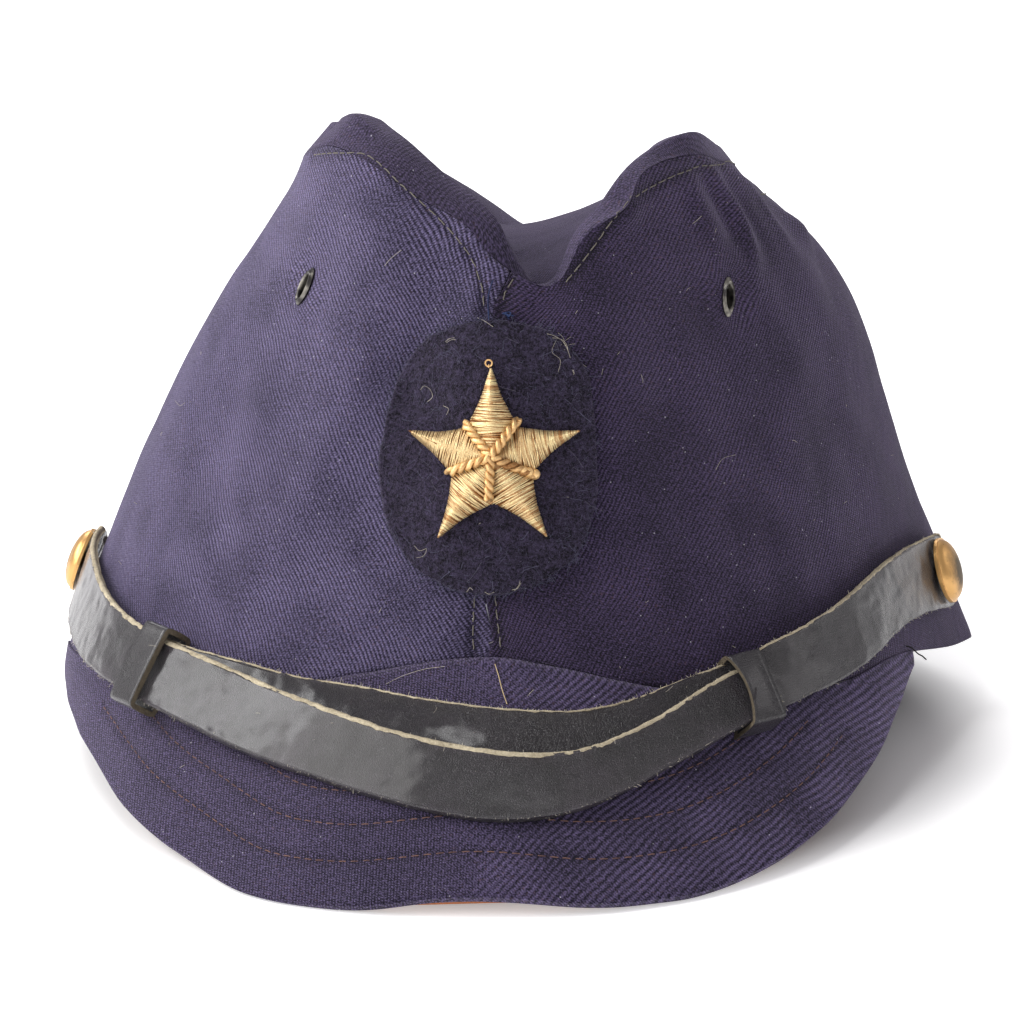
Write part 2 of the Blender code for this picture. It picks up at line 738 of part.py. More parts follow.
def star_place(turn, along, out):
    bearing = math.radians(360 * turn + STAR_TURN)
    reach = along * star_edge(turn)
    return badge_point(
        STAR_RIGHT + STAR_SLIMNESS * reach * math.sin(bearing),
        STAR_UP + reach * math.cos(bearing),
        BADGE_SEAT + FELT + CLEARANCE + out,
    )


def star_cord(number):
    """A cord's path up the valley between two arms of the star and down onto the felt."""
    curve = bpy.data.curves.new(f"star_cord_{number}", "CURVE")
    curve.dimensions = "3D"
    curve.bevel_depth = CORD_RADIUS
    curve.bevel_resolution = 1
    curve.use_fill_caps = True
    spline = curve.splines.new("POLY")
    spline.points.add(CORD_POINTS - 1)
    turn = (number - 0.5) / 5
    for step, point in enumerate(spline.points):
        reach = CORD_START + (CORD_END - CORD_START) * step / (CORD_POINTS - 1)
        along = reach / star_edge(turn)
        base = star_height(turn, min(along, 1.0))
        lift = base + CORD_RADIUS + CLEARANCE + CORD_EASE
        place = star_place(turn, along, lift)
        point.co = (*place, 1.0)
    return curve


FRONT = Table(FRONT_PLY)
BACK = Table(BACK_PLY)


def cloth_point(angle, down):
    """A point of the cap's outside, down metres below the seam of the visor, or above it."""
    if down >= 0:
        return visor_point(angle, down)
    height = seam_point(angle).z - rim_point(angle).z
    return side_point(angle, -down / height)


def ply_middle(ply, angle):
    """The middle of a ply's line on the cloth, and the direction down the cloth there."""
    middle = VISOR_LENGTH * ply.down(angle)
    upper = cloth_point(angle, middle - STRAP_WIDTH / 2)
    lower = cloth_point(angle, middle + STRAP_WIDTH / 2)
    return (upper + lower) / 2, (lower - upper).normalized()


def ply_frame(ply, angle):
    """Axes of a ply: along it, across it downwards, and out of the cloth."""
    middle, drop = ply_middle(ply, angle)
    ahead = ply_middle(ply, angle + ANGLE_STEP)[0]
    behind = ply_middle(ply, angle - ANGLE_STEP)[0]
    run = (ahead - behind).normalized()
    out = drop.cross(run).normalized()
    frame = Matrix((run, run.cross(out), out)).transposed().to_4x4()
    frame.translation = middle
    return frame


def ply_wall(ply, angles, widths):
    """A ply of leather through the given angles, with a share of its full width at each."""
    frames = [ply_frame(ply, angle) for angle in angles]

    def place(along, across, depth):
        number = round(along * (len(angles) - 1))
        angle = angles[number]
        side = (2 * across - 1) * widths[number]
        stand = ply.high(angle) + (ply.low(angle) - ply.high(angle)) * (side + 1) / 2
        stand += ply.arch(angle) * (1 - side * side)
        edge = ply.wide(angle) * STRAP_WIDTH / 2
        return frames[number] @ Vector((0.0, side * edge, (stand + depth) * LEATHER))

    return wall(
        len(angles) - 1,
        STRAP_STEPS,
        lambda along, across: place(along, across, 1.0),
        lambda along, across: place(along, across, 0.0),
    )


def ply_angles(rounded, plain):
    """The angles and widths of a ply, from its round end at one angle to its plain end."""
    way = 1 if plain > rounded else -1
    arc = math.degrees(STRAP_WIDTH / 2 / RIM_HALF_WIDTH)
    angles = [rounded + way * arc * share for share in ROUND_END]
    widths = [math.sqrt(1 - (1 - share) ** 2) for share in ROUND_END]
    count = round(abs(plain - angles[-1]) / STRAP_SPACING)
    for step in range(1, count + 1):
        angles.append(angles[-1] + (plain - angles[-1]) / (count + 1 - step))
        widths.append(1.0)
    return angles, widths


def turned(name, profile, closed, steps, material, frame):
    """A piece turned about its Z axis from a profile of radius and height."""
    shape = bmesh.new()
    verts = [shape.verts.new((radius, 0.0, height)) for radius, height in profile]
    for start, end in zip(verts, verts[1:]):
        shape.edges.new((start, end))
    if closed:
        shape.edges.new((verts[-1], verts[0]))
    mesh = bpy.data.meshes.new(name)
    shape.to_mesh(mesh)
    shape.free()
    piece = add_piece(name, mesh, material, frame)
    screw = piece.modifiers.new("turn", "SCREW")
    screw.axis = "Z"
    screw.steps = steps
    screw.render_steps = steps
    screw.use_merge_vertices = True
    screw.merge_threshold = MERGE
    screw.use_smooth_shade = True
    return piece


def cut_round_hole(piece, name, frame, radius):
    """Drills a round hole through a piece along the frame's Z axis."""
    shape = bmesh.new()
    bmesh.ops.create_cone(
        shape, cap_ends=True, segments=HOLE_SIDES, radius1=radius, radius2=radius, depth=HOLE_DEPTH
    )
    mesh = bpy.data.meshes.new(name)
    shape.to_mesh(mesh)
    shape.free()
    cutter = bpy.data.objects.new(name, mesh)
    CUTTERS.objects.link(cutter)
    cutter.parent = REST
    cutter.matrix_local = frame
    cutter.hide_render = True
    cutter.display_type = "WIRE"
    cut = piece.modifiers.new(name, "BOOLEAN")
    cut.operation = "DIFFERENCE"
    cut.solver = "EXACT"
    cut.object = cutter


def add_crown():
    for name, shape in crown_panels():
        settle(shape)
        add_piece(name, mesh_of(name, shape), NAVY_TWILL)


def add_visor():
    shape = visor_wall(CLEARANCE, lambda angle: 0.0, 0.0, VISOR_THICKNESS)
    settle(shape)
    add_piece("visor", mesh_of("visor", shape), NAVY_TWILL)
    depth = VISOR_THICKNESS + CLEARANCE
    shape = visor_wall(LINING_START, lining_inset, depth, LINING_THICKNESS)
    settle(shape)
    add_piece("visor_lining", mesh_of("visor_lining", shape), TAN_LINING)


def add_badge():
    shape = wall(
        PATCH_SPOKES,
        PATCH_RINGS,
        lambda turn, along: patch_place(turn % 1, along, BADGE_SEAT + FELT),
        lambda turn, along: patch_place(turn % 1, along, BADGE_SEAT),
    )
    add_piece("badge_patch", mesh_of("badge_patch", shape), BLACK_FELT)
    shape = wall(
        STAR_SPOKES,
        STAR_RINGS,
        lambda turn, along: star_place(turn % 1, along, star_height(turn, along)),
        lambda turn, along: star_place(turn % 1, along, 0.0),
    )
    add_piece("star", mesh_of("star", shape), GOLD_THREAD)
    for number in range(1, 6):
        add_piece(f"star_cord_{number}", star_cord(number), GOLD_THREAD)


def add_strap():
    left = ply_wall(FRONT, *ply_angles(LEFT_BUTTON_ANGLE - STRAP_TAIL, FRONT_PLY_END))
    right = ply_wall(BACK, *ply_angles(RIGHT_BUTTON_ANGLE + STRAP_TAIL, BACK_PLY_END))
    pieces = [
        ("left", left, FRONT, LEFT_BUTTON_ANGLE),
        ("right", right, BACK, RIGHT_BUTTON_ANGLE),
    ]
    for side, shape, ply, angle in pieces:
        name = f"strap_{side}"
        piece = add_piece(name, mesh_of(name, shape), BLACK_LEATHER)
        stand = (ply.high(angle) + ply.low(angle)) / 2 * LEATHER
        frame = ply_frame(ply, angle) @ Matrix.Translation((0.0, 0.0, stand + LEATHER + BUTTON_EASE))
        cut_round_hole(piece, f"button_hole_{side}", frame, SHANK_RADIUS + HOLE_CLEARANCE)
        add_button(f"button_{side}", frame, stand + LEATHER + BUTTON_EASE - CLEARANCE)


def add_button(name, frame, shank):
    """A domed button whose back lies at the frame's origin and whose shank reaches the crown."""
    dome = []
    for step in range(DOME_STEPS):
        turn = math.pi / 2 * step / (DOME_STEPS - 1)
        radius = (BUTTON_RADIUS - BUTTON_RIM / 2) * math.sin(turn)
        dome.append((radius, BUTTON_RIM + BUTTON_DOME * math.cos(turn)))
    rim = [(BUTTON_RADIUS, BUTTON_RIM), (BUTTON_RADIUS, 0.0)]
    stem = [(SHANK_RADIUS, 0.0), (SHANK_RADIUS, -shank), (0.0, -shank)]
    turned(name, dome + rim + stem, False, BUTTON_SIDES, AGED_BRASS, frame)


def add_eyelets():
    barrel = EYELET_BORE + EYELET_WALL
    face = CLEARANCE + EYELET_WALL
    back = -CLOTH - CLEARANCE - HOLE_CLEARANCE
    profile = [
        (barrel, face + EYELET_WALL / 2),
        (EYELET_FLANGE - EYELET_WALL, face),
        (EYELET_FLANGE, CLEARANCE + EYELET_WALL / 3),
        (EYELET_FLANGE, CLEARANCE),
        (barrel, CLEARANCE),
        (barrel, back),
        (EYELET_FLANGE - EYELET_WALL, back),
        (EYELET_FLANGE - EYELET_WALL, back - EYELET_WALL),
        (EYELET_BORE, back - EYELET_WALL),
        (EYELET_BORE, face),
    ]
    for side, angle in (("left", EYELET_ANGLE_LEFT), ("right", EYELET_ANGLE_RIGHT)):
        frame = surface_frame(side_point, angle, EYELET_HEIGHT)
        panel = bpy.data.objects[f"crown_side_{side}"]
        cut_round_hole(panel, f"vent_{side}", frame, barrel + HOLE_CLEARANCE)
        turned(f"eyelet_{side}", profile, True, EYELET_SIDES, BLACKENED_METAL, frame)


def add_keepers():
    keepers = [
        ("left", LEFT_KEEPER_ANGLE, math.radians(LEFT_KEEPER_TURN)),
        ("right", RIGHT_KEEPER_ANGLE, math.radians(RIGHT_KEEPER_TURN)),
    ]
    for side, angle, turn in keepers:
        inner = (BACK.high(angle) + BACK.low(angle)) / 2 * LEATHER
        outer = (FRONT.high(angle) + FRONT.low(angle)) / 2 * LEATHER + LEATHER
        half_depth = (outer - inner) / 2 + KEEPER_EASE
        strap_half = max(FRONT.wide(angle), BACK.wide(angle)) * STRAP_WIDTH / 2
        skew = abs(math.tan(turn)) * KEEPER_LENGTH / 2
        half_width = strap_half / math.cos(turn) + skew + KEEPER_SIDE_EASE
        frame = ply_frame(BACK, angle).lerp(ply_frame(FRONT, angle), 0.5)
        frame @= Matrix.Translation((0.0, 0.0, (inner + outer) / 2)) @ Matrix.Rotation(turn, 4, "Z")

        def place(round_it, along, grow, frame=frame, width=half_width, depth=half_depth):
            across, out = rounded_loop(round_it, width + grow, depth + grow, CLEARANCE + grow)
            return frame @ Vector(((along - 0.5) * KEEPER_LENGTH, across, out))

        shape = wall(
            4 * KEEPER_CORNER_STEPS,
            1,
            lambda round_it, along, place=place: place(round_it, along, KEEPER_LEATHER),
            lambda round_it, along, place=place: place(round_it, along, 0.0),
        )
        add_piece(f"keeper_{side}", mesh_of(f"keeper_{side}", shape), BLACK_LEATHER)


def rounded_loop(turn, half_width, half_depth, radius):
    """A point of a rectangle with round corners, as many points to each corner."""
    number = round(turn * 4 * KEEPER_CORNER_STEPS) % (4 * KEEPER_CORNER_STEPS)
    corner, part = divmod(number, KEEPER_CORNER_STEPS)
    bend = math.radians(90) * (corner + part / (KEEPER_CORNER_STEPS - 1))
    side_x = 1 if corner in (0, 3) else -1
    side_y = 1 if corner in (0, 1) else -1
    return (
        side_x * (half_width - radius) + radius * math.cos(bend),
        side_y * (half_depth - radius) + radius * math.sin(bend),
    )


def set_down():
    """Leans the cap back onto the floor and centres it there."""
    REST.rotation_euler.x = -LEAN
    REST.location.z = RIM_HALF_LENGTH * math.sin(LEAN) - SETTLE
    bpy.context.view_layer.update()
    graph = bpy.context.evaluated_depsgraph_get()
    low = Vector((math.inf, math.inf))
    high = -low
    for piece in CAP.objects:
        if piece.type == "EMPTY":
            continue
        solid = piece.evaluated_get(graph)
        mesh = solid.to_mesh()
        for vert in mesh.vertices:
            place = (solid.matrix_world @ vert.co).xy
            low = Vector(map(min, low, place))
            high = Vector(map(max, high, place))
        solid.to_mesh_clear()
    REST.location.xy -= (low + high) / 2


add_crown()
add_visor()
add_badge()
add_strap()
add_keepers()
add_eyelets()
set_down()
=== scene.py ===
import math
import random

import bmesh
import bpy
from mathutils import Matrix, Vector, noise
from mathutils.bvhtree import BVHTree
from mathutils.kdtree import KDTree


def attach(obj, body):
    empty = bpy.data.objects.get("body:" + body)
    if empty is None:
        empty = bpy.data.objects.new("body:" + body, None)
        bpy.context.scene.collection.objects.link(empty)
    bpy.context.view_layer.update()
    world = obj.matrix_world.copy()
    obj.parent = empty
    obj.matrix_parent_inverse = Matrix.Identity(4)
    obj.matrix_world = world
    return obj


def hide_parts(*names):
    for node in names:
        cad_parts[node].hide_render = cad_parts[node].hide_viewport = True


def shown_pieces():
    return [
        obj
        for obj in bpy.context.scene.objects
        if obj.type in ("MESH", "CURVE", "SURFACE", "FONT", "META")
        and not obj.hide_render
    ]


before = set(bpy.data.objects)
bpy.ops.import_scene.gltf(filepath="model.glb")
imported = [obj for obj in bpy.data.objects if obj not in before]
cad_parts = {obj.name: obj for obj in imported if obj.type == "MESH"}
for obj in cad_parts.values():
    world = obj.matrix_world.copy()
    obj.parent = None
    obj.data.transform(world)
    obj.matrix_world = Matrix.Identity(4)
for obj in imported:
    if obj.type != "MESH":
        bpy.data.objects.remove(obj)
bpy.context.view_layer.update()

MM = 0.001
chance = random.Random(7)

# Each side's name, and the way along X that it lies.
SIDES = {"left": -1, "right": 1}

# The cap leans back onto its rear rim. In the rim's own frame the rim is level, -Y is the front
# and Z is up from the rim.
LEAN = math.radians(10.3489)
REST = Matrix.Translation((0.000668, 0.016477, 0.016086)) @ Matrix.Rotation(-LEAN, 4, "X")
TO_RIM = REST.inverted()
HEAD = Vector((0.0, 0.0, 0.05))

# The camera, in the rim's frame: its turn to the right, its rise over the rim, and its distance.
CAMERA_TURN = math.radians(5.0)
CAMERA_RISE = math.radians(5.0)
CAMERA_REACH = 1.3
CAMERA_AIM = Vector((-0.0015, 0.0, 0.0296))
PICTURE = 1024
FOCAL = 6032.0
SENSOR = 36.0

# How near a node's points merge, how far its triangles bend and skew to make quads, and the bend
# in degrees that is a sharp edge, with a margin for the finer mesh.
MERGE_REACH = 0.02 * MM
QUAD_BEND = math.radians(32)
QUAD_SKEW = math.radians(70)
BEND = 40.0
BEND_MARGIN = 15.0
# The rim's half width and half length, and places in its frame: rows of stitches are laid in
# towards the first two, and the buttons face away from the third.
RIM_HALF_WIDTH = 0.097
RIM_HALF_LENGTH = 0.094
FAR_BELOW = Vector((0.0, 0.0, -10.0))
UNDER_CROWN = Vector((0.0, 0.0, -0.01))
BUTTON_LEVEL = Vector((0.0, 0.0, 0.019))
# The spacing of points along a row of stitches, along a piece's edge, and where stitches are laid.
ROW_STEP = 0.6 * MM
LOOP_STEP = 1.5 * MM
STITCH_STEP = 0.25 * MM
# How deep a stitch's ends sink into the cloth, as a share of its radius.
STITCH_SINK = 0.35
# How much longer the cloth of a side is than its height.
SIDE_SLANT = 1.04
# How many widths away a fold ends, and how much of its height is left at its path's ends.
FOLD_FADES = 2.5
FOLD_ENDS = 0.08
# How deep under the top seam its stitches run, and from where the picture no longer shows them.
SEAM_DEPTH = 6.0 * MM
UNSEEN_FROM = -0.02
# The front seam's sides move together by a shift that fades with a reach.
SEAM_SHIFT = 0.13 * MM
SEAM_REACH = 6.0 * MM
# The share of a gap that closes where two panels meet, and how near they have to be.
MEETS = 0.9
MEET_REACH = 1.2 * MM
# How much painted shade darkens a panel's edge, as a share of the painted shade along a stitched row.
EDGE_SHADE = 0.3
# How many of its reaches away a pull on the cloth ends. An eyelet presses the cloth fully within a
# reach, and less and less over so many reaches more.
PULL_FADES = 2.6
VENT_REACH = 3.4 * MM
VENT_FADES = 1.4
# The visor: the depth of each row of stitches in millimetres, how far it rises to the crown, and how
# far outside the rim its stitches and the edge that they follow lie, as shares of the rim.
VISOR_ROWS = (9.5, 17.5, 25.0)
HEM_RISE = 0.5 * MM
ROW_CLEAR = 1.02
EDGE_CLEAR = 1.04
# How much painted shade darkens its rows of stitches and its edge by the crown, as shares of a stitched
# row's full shade.
ROW_SHADE = 0.6
HEM_SHADE = 0.2
# The length, gap and radius of the stitches on the crown and on the visor.
CROWN_STITCH = (1.9 * MM, 0.8 * MM, 0.13 * MM)
VISOR_STITCH = (1.5 * MM, 0.9 * MM, 0.12 * MM)
# How far to the front the felt's faces turn to bear hairs, and its rim's faces at most.
FELT_FACES = -0.3
FELT_RIM = 0.75
# The felt's hairs: how many, their length in millimetres and their lift off the felt.
FACE_FUZZ = (900, 1.2, 0.35)
RIM_FUZZ = (700, 1.5, 0.5)
LONG_CURLS = (70, 2.6, 0.12)
# The star's arms: where they begin to slim, over what share of their length, and by how much.
SLIM_FROM = 0.3
SLIM_OVER = 0.45
SLIM_BY = 0.24
# The star's winding: its radius, its start from the middle, its pitch in millimetres, its lean.
WRAP_RADIUS = 0.115 * MM
WRAP_START = 1.2 * MM
WRAP_PITCH = (0.15, 0.23)
WRAP_LEAN = (-0.13, 0.13)
# The star's cords: the radius of a strand, how far it winds off the middle, and its turns.
STRAND_RADIUS = 0.56 * MM
STRAND_OFFSET = 0.52 * MM
STRAND_TURNS = 2.7
# The radius of the wire at the star's tip, and of each of the two loops in it in millimetres.
WIRE_RADIUS = 0.11 * MM
WIRE_LOOPS = (0.62, 0.74)
# The hairs of lint: how many, and the columns and rows that they lie between in the picture.
LINT_NUMBER = 70
LINT_COLUMNS = (120, 930)
LINT_ROWS = (190, 800)
# How wide a strap's edge is rubbed, how far up its cut edge turns where it is pale, and how far down
# where it is black.
RUBBED_EDGE = 1.0 * MM
UPPER_EDGE = 0.1
LOWER_EDGE = -0.3


# Camera and studio

# The square soft lights that face the cap: name, place, size, power and colour.
LIGHTS = [
    ("key_light", (-1.45, -0.75, 1.0), 1.3, 26.0, (1.0, 0.985, 0.96)),
    ("sheen_light", (-1.3, 0.2, 1.0), 0.7, 14.0, (1.0, 1.0, 1.0)),
    ("top_light", (-0.35, -0.4, 1.5), 0.4, 4.0, (1.0, 1.0, 1.0)),
    ("front_light", (0.2, -1.7, 0.9), 0.9, 2.6, (1.0, 1.0, 1.0)),
    ("rim_light", (1.3, 0.5, 0.8), 0.8, 2.4, (1.0, 0.97, 0.97)),
    ("rear_light", (-0.4, 1.4, 1.2), 0.9, 9.0, (1.0, 1.0, 1.0)),
]


def camera_axes():
    """The camera's right, up and forward directions and its place, in the rim's frame."""
    level = Vector((-math.sin(CAMERA_TURN), math.cos(CAMERA_TURN), 0.0))
    forward = level * math.cos(CAMERA_RISE) - Vector((0.0, 0.0, math.sin(CAMERA_RISE)))
    right = Vector((math.cos(CAMERA_TURN), math.sin(CAMERA_TURN), 0.0))
    return right, right.cross(forward), forward, CAMERA_AIM - forward * CAMERA_REACH


def picture_axes(degrees=0.0):
    """The picture's right and up directions on the resting cap, turned by some degrees."""
    right, up = camera_axes()[:2]
    turn = math.radians(degrees)
    first = right * math.cos(turn) + up * math.sin(turn)
    second = up * math.cos(turn) - right * math.sin(turn)
    return REST.to_3x3() @ first, REST.to_3x3() @ second


def add_camera():
    right, up, forward, place = camera_axes()
    lens = bpy.data.cameras.new("camera")
    lens.sensor_width = SENSOR
    lens.lens = FOCAL / PICTURE * SENSOR
    camera = add_object("camera", lens)
    pose = Matrix((right, up, -forward)).transposed().to_4x4()
    pose.translation = place
    camera.matrix_world = REST @ pose
    bpy.context.scene.camera = camera


def add_studio():
    for name, place, size, power, colour in LIGHTS:
        lamp = bpy.data.lights.new(name, "AREA")
        lamp.shape = "SQUARE"
        lamp.size = size
        lamp.energy = power
        lamp.color = colour
        light = add_object(name, lamp)
        light.location = place
        aim = Vector((0.0, 0.0, 0.06)) - light.location
        light.rotation_euler = aim.to_track_quat("-Z", "Y").to_euler()
    world = bpy.data.worlds.new("studio")
    world.use_nodes = True
    air = world.node_tree.nodes["Background"]
    air.inputs["Color"].default_value = (1.0, 0.965, 1.0, 1.0)
    air.inputs["Strength"].default_value = 0.42
    bpy.context.scene.world = world
    bpy.context.scene.view_settings.view_transform = "Standard"
    shape = bmesh.new()
    bmesh.ops.create_grid(shape, x_segments=4, y_segments=4, size=4.0)
    floor = add_object("floor", mesh_from(shape, "floor"), [floor_paint()])


# Materials


class Wire:
    """What comes out of a node's socket. Arithmetic on it adds the nodes that work it out."""

    def __init__(self, finish, socket):
        self.finish = finish
        self.socket = socket

    def math(self, operation, *values):
        return self.finish.add("ShaderNodeMath", {"operation": operation}, dict(enumerate(values)))

    def __add__(self, other):
        return self.math("ADD", self, other)

    __radd__ = __add__

    def __sub__(self, other):
        return self.math("SUBTRACT", self, other)

    def __rsub__(self, other):
        return self.math("SUBTRACT", other, self)

    def __mul__(self, other):
        return self.math("MULTIPLY", self, other)

    __rmul__ = __mul__

    def __truediv__(self, other):
        return self.math("DIVIDE", self, other)

    def __pow__(self, other):
        return self.math("POWER", self, other)

    def clamp(self):
        return self.math("MINIMUM", self.math("MAXIMUM", self, 0.0), 1.0)

    def floor(self):
        return self.math("FLOOR", self)

    def near(self, middle, width):
        """1 where the value is at a middle, and 0 past a width from it."""
        return 1 - self.math("ABSOLUTE", self - middle).step(0.0, width)

    def wave(self):
        """A smooth wave from 0 to 1 that repeats with every whole number."""
        return self.math("SINE", self * (2 * math.pi)) * 0.5 + 0.5

    def step(self, low, high):
        """0 below low, 1 above high, and smooth between the two."""
        settings = {"interpolation_type": "SMOOTHSTEP"}
        inputs = {"Value": self, "From Min": low, "From Max": high}
        return self.finish.add("ShaderNodeMapRange", settings, inputs)


class Finish:
    """A material with the nodes that make its finish."""

    def __init__(self, name, constants):
        self.material = bpy.data.materials.new(name)
        self.material.use_nodes = True
        self.nodes = self.material.node_tree.nodes
        self.shader = self.nodes["Principled BSDF"]
        for socket, value in constants.items():
            self.shader.inputs[socket].default_value = value

    def add(self, kind, settings, inputs, out=0):
        """One node: its settings, then the values and links of its sockets."""
        node = self.nodes.new(kind)
        for name, value in settings.items():
            setattr(node, name, value)
        for name, value in inputs.items():
            self.plug(node.inputs[name], value)
        return Wire(self, node.outputs[out])

    def plug(self, socket, value):
        if isinstance(value, Wire):
            self.material.node_tree.links.new(value.socket, socket)
        else:
            socket.default_value = value

    def place(self):
        """The place on the object, in millimetres."""
        spot = self.add("ShaderNodeTexCoord", {}, {}, out=3)
        return self.stretch(spot, (1 / MM, 1 / MM, 1 / MM))

    def cloth(self):
        """The place on the cut cloth, in millimetres: across, then up."""
        return self.add("ShaderNodeUVMap", {"uv_map": "cloth"}, {})

    def mark(self, name):
        """A number that the piece's points carry."""
        return self.add("ShaderNodeAttribute", {"attribute_name": name}, {}, out=2)

    def stretch(self, spot, sizes):
        return self.add("ShaderNodeVectorMath", {"operation": "MULTIPLY"}, {0: spot, 1: sizes})

    def split(self, spot):
        parts = self.add("ShaderNodeSeparateXYZ", {}, {0: spot}).socket.node
        return [Wire(self, socket) for socket in parts.outputs]

    def noise(self, spot, scale, detail=2.0, rough=0.5):
        inputs = {"Vector": spot, "Scale": scale, "Detail": detail, "Roughness": rough}
        return self.add("ShaderNodeTexNoise", {}, inputs)

    def cells(self, spot, scale, feature="F1"):
        return self.add("ShaderNodeTexVoronoi", {"feature": feature}, {"Vector": spot, "Scale": scale})

    def mix(self, share, first, second):
        return self.add("ShaderNodeMix", {"data_type": "RGBA"}, {0: share, 6: first, 7: second}, 2)

    def paint(self, **links):
        """Links wires to the shader: colour, roughness, metallic and relief in millimetres."""
        sockets = {"colour": "Base Color", "roughness": "Roughness", "metallic": "Metallic"}
        for name, value in links.items():
            if name == "relief":
                inputs = {"Strength": 1.0, "Distance": MM, "Height": value}
                value = self.add("ShaderNodeBump", {}, inputs)
                self.plug(self.shader.inputs["Normal"], value)
            else:
                self.plug(self.shader.inputs[sockets[name]], value)
        return self.material


def shade(red, green, blue):
    """A colour given as it looks on a screen, from 0 to 255."""
    linear = [((part / 255 + 0.055) / 1.055) ** 2.4 for part in (red, green, blue)]
    return (*linear, 1.0)


# The shade of the light that the wool's nap catches.
NAP = (0.80, 0.70, 1.0, 1.0)
# The felt's loose fibres: the scale of each set, and the value that they follow.
FELT_STRANDS = [(0.9, 0.5), (1.3, 0.44), (1.9, 0.53)]


def floor_paint():
    """A pale floor that gives off a little light, but none under the cap."""
    made = Finish("floor_paint", {"Roughness": 0.9, "Specular IOR Level": 0.1, "Emission Strength": 0.45})
    spot = made.place()
    across, along, _ = made.split(spot)
    clear = ((across * across + along * along) ** 0.5).step(88.0, 112.0)
    glow = made.mix(clear, (0.0, 0.0, 0.0, 1.0), (1.0, 1.0, 1.0, 1.0))
    made.plug(made.shader.inputs["Emission Color"], glow)
    tone = made.noise(spot, 0.004, 2.0)
    return made.paint(colour=made.mix(tone, shade(246, 246, 247), shade(250, 250, 250)))


def twill(name, turn, pitch, strength, deep, light, plain=(-400.0, -399.0)):
    """Wool twill: ribs at an angle to the cloth, made of short floats, with a dusty nap.

    The ribs fade to a fine plain weave on the left of the plain range, in millimetres across.
    """
    made = Finish(name, {"Sheen Weight": 0.18, "Sheen Tint": NAP, "Specular IOR Level": 0.2})
    spot = made.cloth()
    across, up, _ = made.split(spot)
    lean = math.radians(turn)
    sway = made.noise(spot, 0.035, 2.0) * 5.0 + made.noise(spot, 0.25, 1.0) * 0.45
    phase = (up * math.cos(lean) - across * math.sin(lean) + sway) / pitch
    rib = phase.wave()
    run = (across * math.cos(lean) + up * math.sin(lean) + sway * 0.5) / 0.5
    step = (run + phase.floor() * 0.37).wave()
    grain = made.noise(spot, 2.3, 2.0, 0.75)
    fleck = made.noise(spot, 1.1, 2.0, 0.7)
    shows = made.noise(spot, 0.07, 1.0).step(0.25, 0.7) * 0.6 + 0.4
    ribbed = across.step(*plain)
    dots = (across / 0.62).wave() * (up / 0.5 + (across / 1.24).floor() * 0.5).wave()
    weave = (rib * (step * 0.45 + 0.55) * shows * ribbed + dots * 0.8 * (1 - ribbed)) * strength
    cast = made.noise(spot, 0.035, 3.0, 0.6)
    # Stitched rows and seams dip in the relief, and their colour is darkened with painted shade.
    groove_and_shade = made.mark("groove_and_shade")
    tone = weave * 0.56 + step * 0.14 + grain * 1.35 + fleck * 0.55 + cast * 0.18
    tone = (tone - 0.96 - strength * 0.11 - groove_and_shade * 0.16).clamp()
    base = made.mix(tone, shade(*deep), shade(*light))
    rust = made.noise(spot, 1.4, 1.0).step(0.60, 0.72) * cast.step(0.3, 0.7) * 0.5
    tint = made.mix(rust, base, shade(74, 52, 56))
    lint = 1 - made.cells(spot, 0.55).step(0.05, 0.10)
    rare = made.noise(spot, 0.6, 0.0).step(0.55, 0.62)
    colour = made.mix(lint * rare * 0.55, tint, shade(206, 204, 214))
    swell = made.noise(spot, 0.05, 2.0) * 1.2 + made.noise(spot, 0.2, 2.0) * 0.2
    relief = weave * 0.24 + step * 0.04 + grain * 0.18 + fleck * 0.08 + swell - groove_and_shade * 0.3
    return made.paint(colour=colour, roughness=0.94 - grain * 0.15, relief=relief)


def felt_paint():
    made = Finish("felt", {"Sheen Weight": 0.18, "Sheen Tint": NAP, "Specular IOR Level": 0.12})
    spot = made.place()
    nap = made.noise(spot, 1.7, 3.0, 0.75)
    clump = made.noise(spot, 0.5, 3.0, 0.6)
    strands = [made.noise(spot, scale, 1.0, 0.6).near(middle, 0.035) for scale, middle in FELT_STRANDS]
    fibre = strands[0] + strands[1] + strands[2]
    tone = (nap * 1.5 + clump * 0.6 - 0.92 + fibre * 0.16).clamp()
    colour = made.mix(tone, shade(6, 4, 10), shade(84, 75, 104))
    relief = nap * 0.35 + clump * 0.35 + fibre * 0.06
    return made.paint(colour=colour, roughness=0.97 - nap * 0.06, relief=relief)


def leather_paint(name, gloss, grey):
    """Black leather with a fine pebbled grain, pulled creases and rubbed places."""
    made = Finish(name, {"Specular IOR Level": 0.5, "Coat Weight": 0.5, "Coat Roughness": 0.2})
    spot = made.place()
    warp = made.noise(spot, 0.6, 2.0)
    grain = made.cells(made.stretch(spot, (1.0, 1.0, 1.25)), 2.1, "DISTANCE_TO_EDGE").step(0.0, 0.3)
    pores = made.noise(spot, 3.4, 3.0, 0.7)
    pull = made.noise(made.stretch(spot, (0.6, 1.0, 1.7)), 0.8, 3.0, 0.6)
    rub = made.noise(spot, 0.10, 3.0, 0.6)
    tone = (rub * 0.8 + pores * 0.7 + grain * 0.2 - 0.75 + made.mark("edge") * 0.2).clamp()
    colour = made.mix(tone * grey, shade(19, 14, 20), shade(114, 102, 116))
    relief = grain * 0.24 + pores * 0.30 + pull * 0.42 + warp * 0.4
    roughness = gloss + rub * 0.18 + pores * 0.10
    return made.paint(colour=colour, roughness=roughness, relief=relief)


